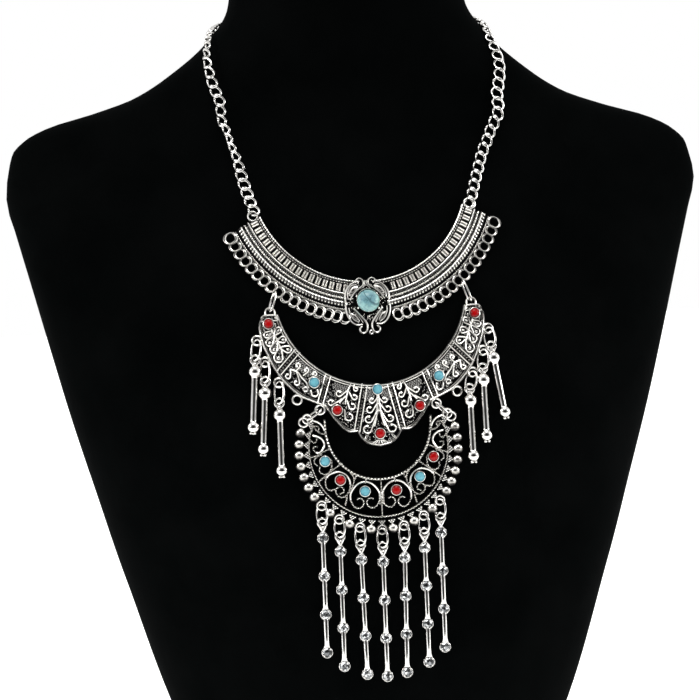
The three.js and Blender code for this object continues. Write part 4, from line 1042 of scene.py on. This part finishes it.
# Half of the heart-shaped scroll about the lowest stones, from the end of its curl to its top.
HEART_PLACE = (6.2, 115.1)
HEART = np.array([
    (3.0, -2.9), (1.5, -2.75), (0.6, -4.0), (0.95, -5.6), (2.5, -6.6), (4.35, -5.9), (5.7, -3.6),
    (5.7, -0.95), (4.35, 1.4), (2.4, 3.1), (0, 3.7)])
# The scroll about the next stone, and the two granulated curls that it ends in.
SCROLL_PLACE = (15.7, 119.9)
SCROLL = np.array([(5.5, 0.9), (4.25, 2.2), (2.2, 3.0), (0.1, 3.1), (-2.2, 1.9), (-3.6, -0.1), (-3.9, -2.2)])
INNER_CURL = np.array([
    SCROLL[-1], (-2.9, -5.3), (-0.9, -6.8), (0.9, -6.25), (1.9, -4.65), (1.5, -3.2), (0.1, -2.55),
    (-1.15, -3.5), (-1.15, -4.8), (0.1, -5.3)])
OUTER_CURL = np.array([(5.5, 0.9), (5.8, -0.9), (5.4, -2.9), (4.0, -3.9), (2.5, -3.5)])
# The arc and the hook in the horn, and the granulated lines of the horn and between the scrolls.
HORN_PLAIN = [
    [(25.6, 143.6), (23.2, 142.6), (21.6, 140.9), (20.7, 138.6)],
    [(25.6, 137.7), (23.4, 137), (21.8, 135.6), (21.4, 133.7), (22.3, 131.9), (23.7, 130.8), (24.9, 131.2)]]
DOTTED = [
    [(15, 126.4), (19.1, 123.5), (21.1, 121.9), (24.1, 119.6)],
    [(24.9, 131.2), (25.7, 132.2), (25.5, 133.2), (24.3, 133.3)],
    [(26.4, 135.7), (25.4, 134.8), (24.4, 135.4), (24.2, 136.4)],
    [(25.9, 139.7), (25.5, 141), (24, 141.4), (23.1, 140.3), (24.1, 139.3), (24.5, 140.3)],
    [(23.3, 138.9), (22, 138.2), (20.8, 138.4)], [(27.4, 129), (24.3, 129.9), (22, 131.2), (19, 132.4)],
    [(24.5, 126), (25.4, 126.8), (25.4, 128.3), (24.3, 129.4), (22.7, 130.1)],
    [(23.4, 125.3), (23.7, 124), (23.2, 123), (21.7, 122.4), (20.1, 123), (19, 124.5), (18.8, 126.1),
     (18.9, 127.7), (20.1, 129), (21.4, 129.6)],
    [(9.2, 121.6), (10.2, 119.5), (10.9, 117.4), (12, 115.2)], [(11.4, 122.4), (10.6, 121.2), (10.3, 119.8)],
    [(13.3, 112.9), (14, 110.2)], [(5.6, 119.8), (5.9, 118.6)]]


def outer_row(place):
    """One step of the row outside: a ball, or a loop for a drop, on a triangle of granules."""
    x, z = spot(0, BEAD_Z, BEAD_RADIUS, place * BEAD_PITCH)
    away = unit(np.array([x, z - BEAD_Z]))
    side = np.array([-away[1], away[0]])
    triangle = [(2.2, 0), (2.8, 0.5), (2.8, -0.5), (3.4, 1.0), (3.4, 0), (3.4, -1.0)]
    places = [(*(np.array([x, z]) - away * out + side * across), 1.2) for out, across in triangle]
    if place in LOOP_PLACES:
        end = round_wire(x, z, 1.75, 0.42, tarnish=0.5)
    else:
        end = stamp(BALL, [(x, z, 1.1)], sizes=1.98)
    return [stamp(GRAIN, places, sizes=0.56), end]


def lower_relief():
    """The right half's open work: ropes of granules, plain arches and the row outside."""
    left, right = (HEART * (s, 1) + HEART_PLACE for s in (-1, 1))
    plain = [np.vstack([left[6:], right[-2:5:-1]]), SCROLL + SCROLL_PLACE, *HORN_PLAIN]
    dotted = [left[:7], right[:7], INNER_CURL + SCROLL_PLACE, OUTER_CURL + SCROLL_PLACE, *DOTTED]
    made = [wire(line, 0.36, 1.15, tarnish=0.5) for line in plain]
    made += [granules(line, 0.54, 1.2, 1.3) for line in dotted]
    inner_arc = np.vstack([arc(0, 140.2, 20.7, 0, 84), [(20.9, 143.4)]])
    made += [granules(inner_arc, 0.66, 1.2, 1.35, 0.7), granules(arc(0, 132.1, 27.4, 0, 110), 0.55, 1.2, 1.3)]
    for place in range(BEAD_COUNT):
        made += outer_row(place)
    made.append(round_wire(*LOWER_EYE, 1.75, 0.42, tarnish=0.5))
    return join(made)


middle_bar = [granules([(0.3, 119.6), (0.3, 105.4)], 0.5, 1.1, 1.25),
              *(granules([(x, 115), (x, 110)], 0.45, 1.15, 1.2) for x in (-0.5, 1.1))]
flat_lower = join([*both([lower_relief()]), *middle_bar, *lower_bezels])
piece("lower_crescent_silver", [moved(flat_lower, on_chest)], SILVER, "silver", "lower_crescent")


# ---- Drops and the rings they hang from ----

LOOP_LIFT, DROP_LIFT, RING_REACH = 1.0, 2.4, 0.4
ROD_LENGTH = 26.4  # from the ring's middle to the lower ball's
LONG_FALL, LONG_LENGTH = 6.8, 51.0  # from the loop to the ring's middle, and from there to the foot


def upright_ring(radius, thick, height=0.0):
    """A ring in the plane of x and z, facing -y."""
    t = full_turn(24)
    line = np.column_stack([radius * np.cos(t), 0 * t, radius * np.sin(t) + height])
    return tube(line, thick, 8, True, (0, -1, 0))


def jump_ring(low, high, forward, half=2.3, thick=0.45, spin=34.0):
    """An oval ring of wire through two loops: across = half cos t and rise = reach sin^0.8 t with
    its sign, where it reaches a little past the middle of each loop. It is spun about its long
    way, so that one strand lies in front of the loops and one behind."""
    t = full_turn(28)
    reach = np.linalg.norm(high - low) / 2 + RING_REACH
    across, rise = half * np.cos(t), np.sign(np.sin(t)) * np.abs(np.sin(t)) ** 0.8 * reach
    c, s = math.cos(math.radians(spin)), math.sin(math.radians(spin))
    line = np.column_stack([across * c, -across * s, rise - reach + RING_REACH])
    return moved(tube(line, thick, 8, True, (s, c, 0.001)), hung(low, high, forward))


def rod_drop():
    """A turned drop: a ball, a long slim rod and a smaller ball over three small studs."""
    def rounded(down, radius, start, stop):
        """The profile of a ball from one angle above its middle to another."""
        angle = np.radians(np.linspace(start, stop, 9))
        return [(radius * math.cos(a), radius * math.sin(a) - down) for a in angle]
    rod = [(1.38, -24.2), (1.35, -23.6), (1.38, -15.5), (1.35, -8.0), (1.4, -7.3)]
    body = lathe([*rounded(ROD_LENGTH, 2.45, -84, 54), *rod, *rounded(4.7, 2.65, -56, 84)], 24)
    t = np.radians([90, 210, 330])
    places = np.column_stack([0.95 * np.cos(t), 0.95 * np.sin(t), np.full(3, -ROD_LENGTH - 2.5)])
    return join([body, stamp(BEAD, places, sizes=0.5), upright_ring(1.75, 0.45),
                 upright_ring(0.8, 0.35, -1.95)])


def oval_rows(rows):
    """Ovals of (height, half width, half depth) stacked along z."""
    t = full_turn(16)
    height, wide, deep = np.array(rows, float).T[..., None]
    return skin(np.stack([wide * np.cos(t), deep * np.sin(t), height + 0 * t], -1))


CRYSTALS = -6.0 - 15.0 * np.arange(4)


def long_drop():
    """The metal of a long drop: a hanger of two crossed wires, a ring about each crystal with four
    claws over its edge at the front and the back, and rods that widen into the next ring."""
    made = [upright_ring(1.75, 0.45)]
    t = np.radians([45, 135, 225, 315])
    claws = np.column_stack([1.72 * np.cos(t), np.full(4, -0.55), 1.72 * np.sin(t)])
    claws = np.vstack([claws, claws * (1, -1, 1)])
    for middle in CRYSTALS:
        made += [upright_ring(2.08, 0.2, middle), stamp(GRANULE, claws + (0, 0, middle), sizes=0.5)]
    for top, middle in zip(CRYSTALS[:-1] - 1.9, CRYSTALS[1:]):
        made.append(oval_rows([
            (top + 0.3, 0.92, 0.7), (top - 0.4, 1.03, 0.9), (top - 1.2, 1.03, 1.0), (middle + 4.6, 1.0, 1.0),
            (middle + 3.4, 1.03, 1.0), (middle + 2.7, 1.12, 0.95), (middle + 2.1, 1.3, 0.8),
            (middle + 1.7, 1.4, 0.4)]))
    for s in (-1, 1):
        line = bend([(s * 1.1, -0.2 * s, -1.5), (s * 0.2, -0.3 * s, -3.0), (-s * 1.5, -0.2 * s, -4.9)])
        made.append(tube(line, 0.42, face=(0, -1, 0)))
    return join(made)


def crystal():
    """A cut glass ball: bands of flat facets, each band turned half a facet from the next."""
    sides, half_width, half_depth = 9, 1.95, 1.5
    bands = [(0.18, -1.06), (0.6, -0.84), (0.92, -0.4), (1, 0), (0.92, 0.4), (0.6, 0.84), (0.18, 1.06)]
    turn = full_turn(sides) + np.pi / sides * (np.arange(len(bands)) % 2)[:, None]
    radius, depth = np.array(bands).T[..., None]
    return skin(np.stack([half_width * radius * np.cos(turn), half_depth * depth + 0 * turn,
                          half_width * radius * np.sin(turn)], -1))


ROD_DROPS = [  # side, number, x and z of the ring's middle, lean from straight down in degrees
    ("left", 1, -46.6, 167.9, -4.3), ("left", 2, -43.1, 159.4, -4), ("left", 3, -38.1, 150.9, -0.3),
    ("right", 1, 46.5, 169.4, 8.7), ("right", 2, 42.5, 161, 0.5), ("right", 3, 36.8, 153.3, 0.6)]
FORWARD = np.array([0.0, -1.0, 0.0])
for side, number, x, z, lean in ROD_DROPS:
    forward = forward_at(x, z)
    ring = on_chest((x, z, DROP_LIFT))
    foot = on_chest((*spot(x, z, ROD_LENGTH, lean), DROP_LIFT))
    loop_x, loop_z = RIM_LOOPS[number - 1]
    loop = on_chest(tilt((math.copysign(loop_x, x), loop_z, LOOP_LIFT), MIDDLE_TILT))
    name = f"rod_drop_{side}_{number}"
    piece(f"{name}_silver", [moved(rod_drop(), hung(foot, ring, forward))], BRIGHT, "silver", name, sharp=55)
    piece(f"ring_{name}", [jump_ring(ring, loop, forward)], BRIGHT, "silver", f"jump_ring_{name}", sharp=0)

SWAYS = {0: 0, 2: -0.8, 4: 0.1, 6: 0}  # how far the foot of a long drop hangs outwards, by its step
for number in range(1, 8):
    name = f"long_drop_{number}"
    place = (number - 4) * 2
    loop = on_chest((*spot(0, BEAD_Z, BEAD_RADIUS, place * BEAD_PITCH), LOOP_LIFT))
    ring = loop - (0, 0, LONG_FALL)
    sway = SWAYS[abs(place)] * np.sign(place)
    way = hung(ring + (sway, 0, -LONG_LENGTH), ring, FORWARD)
    piece(f"{name}_silver", [moved(long_drop(), way)], BRIGHT, "silver", name, sharp=55)
    stones = [moved(crystal(), lambda p, m=middle: p + (0, 0, m)) for middle in CRYSTALS]
    piece(f"crystals_{number}", [moved(join(stones), way)], CRYSTAL, "silver", flat=True)
    piece(f"ring_{name}", [jump_ring(ring, loop, FORWARD)], BRIGHT, "silver", f"jump_ring_{name}", sharp=0)

for side, sign in (("left", -1), ("right", 1)):
    row = tilt((*spot(0, UPPER_Z, FRINGE_RADIUS + 1.3, sign * 39.5), LOOP_LIFT), UPPER_TILT, UPPER_RISE)
    horn, rim = (tilt((sign * x, z, LOOP_LIFT), MIDDLE_TILT) for x, z in (HORN_LOOP, RIM_LOOPS[-1]))
    eye = (sign * LOWER_EYE[0], LOWER_EYE[1], LOOP_LIFT)
    for level, low, high in (("upper", horn, row), ("lower", eye, rim)):
        ring = jump_ring(on_chest(low), on_chest(high), FORWARD, 1.7, 0.42, 72.0)
        piece(f"hanger_{level}_{side}", [ring], BRIGHT, "silver", f"hanger_ring_{level}_{side}", sharp=0)


# ---- Stage, light and camera ----

def paper_shader(tree):
    """White studio paper: matt, with the faintest cloud in its tone."""
    cloud = add(tree, "ShaderNodeTexNoise", sized(tree, 220, 3.0))
    return add(tree, "ShaderNodeBsdfPrincipled", {
        "Base Color": add(tree, "ShaderNodeValToRGB", [cloud], stops=[(0.3, "#f4f4f2"), (0.7, "#fbfbfa")]),
        "Roughness": 0.9, "Emission Color": (1, 1, 1, 1), "Emission Strength": 0.7})


bpy.ops.mesh.primitive_plane_add(size=6, location=(0, 2.5, -0.0005))
floor = bpy.context.object
floor.name = "studio_floor"
floor.data.materials.append(material("white_paper", paper_shader))


LAMP_AIM = np.array([0, 0, 0.17])
LAMP_WATTS = 7


def light(name, place, size):
    """A soft square lamp at a place in metres, turned towards the chest."""
    lamp = bpy.data.lights.new(name, "AREA")
    lamp.size, lamp.energy = size, LAMP_WATTS
    made = bpy.data.objects.new(name, lamp)
    bpy.context.scene.collection.objects.link(made)
    made.location = place
    x, y, z = LAMP_AIM - place
    made.rotation_euler = (math.atan2(np.hypot(x, y), -z), 0, math.atan2(-x, y))


light("softbox_left", (-1.3, -0.4, 0.75), 0.5)
light("softbox_right", (1.35, -0.35, 0.6), 0.5)
light("softbox_top", (0.0, -0.5, 1.5), 0.6)


def studio(world):
    """A white room with a dark opening round the camera and a dark table: the light from a
    direction falls from 0.85 to 0.03 as it turns to the front, and to an eighth as it turns
    downwards; the camera itself sees plain white."""
    world.use_nodes = True
    tree = world.node_tree
    tree.nodes.clear()
    way = add(tree, "ShaderNodeTexCoord", output="Generated")
    y, z = (add(tree, "ShaderNodeSeparateXYZ", [way], axis) for axis in "YZ")
    front = add(tree, "ShaderNodeMapRange", [y, -0.88, -0.55, 0.03, 0.85])
    table = add(tree, "ShaderNodeMapRange", [z, -0.5, 0.05, 0.12, 1])
    level = add(tree, "ShaderNodeMath", [front, table], operation="MULTIPLY")
    seen = add(tree, "ShaderNodeLightPath", output="Is Camera Ray")
    strength = add(tree, "ShaderNodeMath", [level, seen], operation="MAXIMUM")
    sky = add(tree, "ShaderNodeBackground", [(1, 1, 1, 1), strength])
    add(tree, "ShaderNodeOutputWorld", {"Surface": sky})


bpy.context.scene.world = bpy.data.worlds.new("studio")
studio(bpy.context.scene.world)
bpy.context.scene.view_settings.view_transform = "Standard"

# The camera: aimed at the middle of the chest, a little from the left and above, and rolled.
AIM = np.array([0.0, -0.03, 0.17])
AZIMUTH, ELEVATION, ROLL = np.radians((-5.78, 2.24, 2.18))
DISTANCE = 1.5
back = np.array([math.sin(AZIMUTH) * math.cos(ELEVATION), -math.cos(AZIMUTH) * math.cos(ELEVATION),
                 math.sin(ELEVATION)])
level_right = unit(np.cross((0, 0, 1), back))
level_up = np.cross(back, level_right)
right = math.cos(ROLL) * level_right - math.sin(ROLL) * level_up
upright = math.sin(ROLL) * level_right + math.cos(ROLL) * level_up
lens = bpy.data.cameras.new("camera")
lens.lens, lens.sensor_width = 192.9, 36
lens.shift_x, lens.shift_y = -0.0236, -0.0036
lens.clip_end = 50
camera = bpy.data.objects.new("camera", lens)
bpy.context.scene.collection.objects.link(camera)
pose = np.eye(4)
pose[:3, :3] = np.column_stack([right, upright, back])
pose[:3, 3] = AIM + back * DISTANCE
camera.matrix_world = Matrix(pose.tolist())
bpy.context.scene.camera = camera
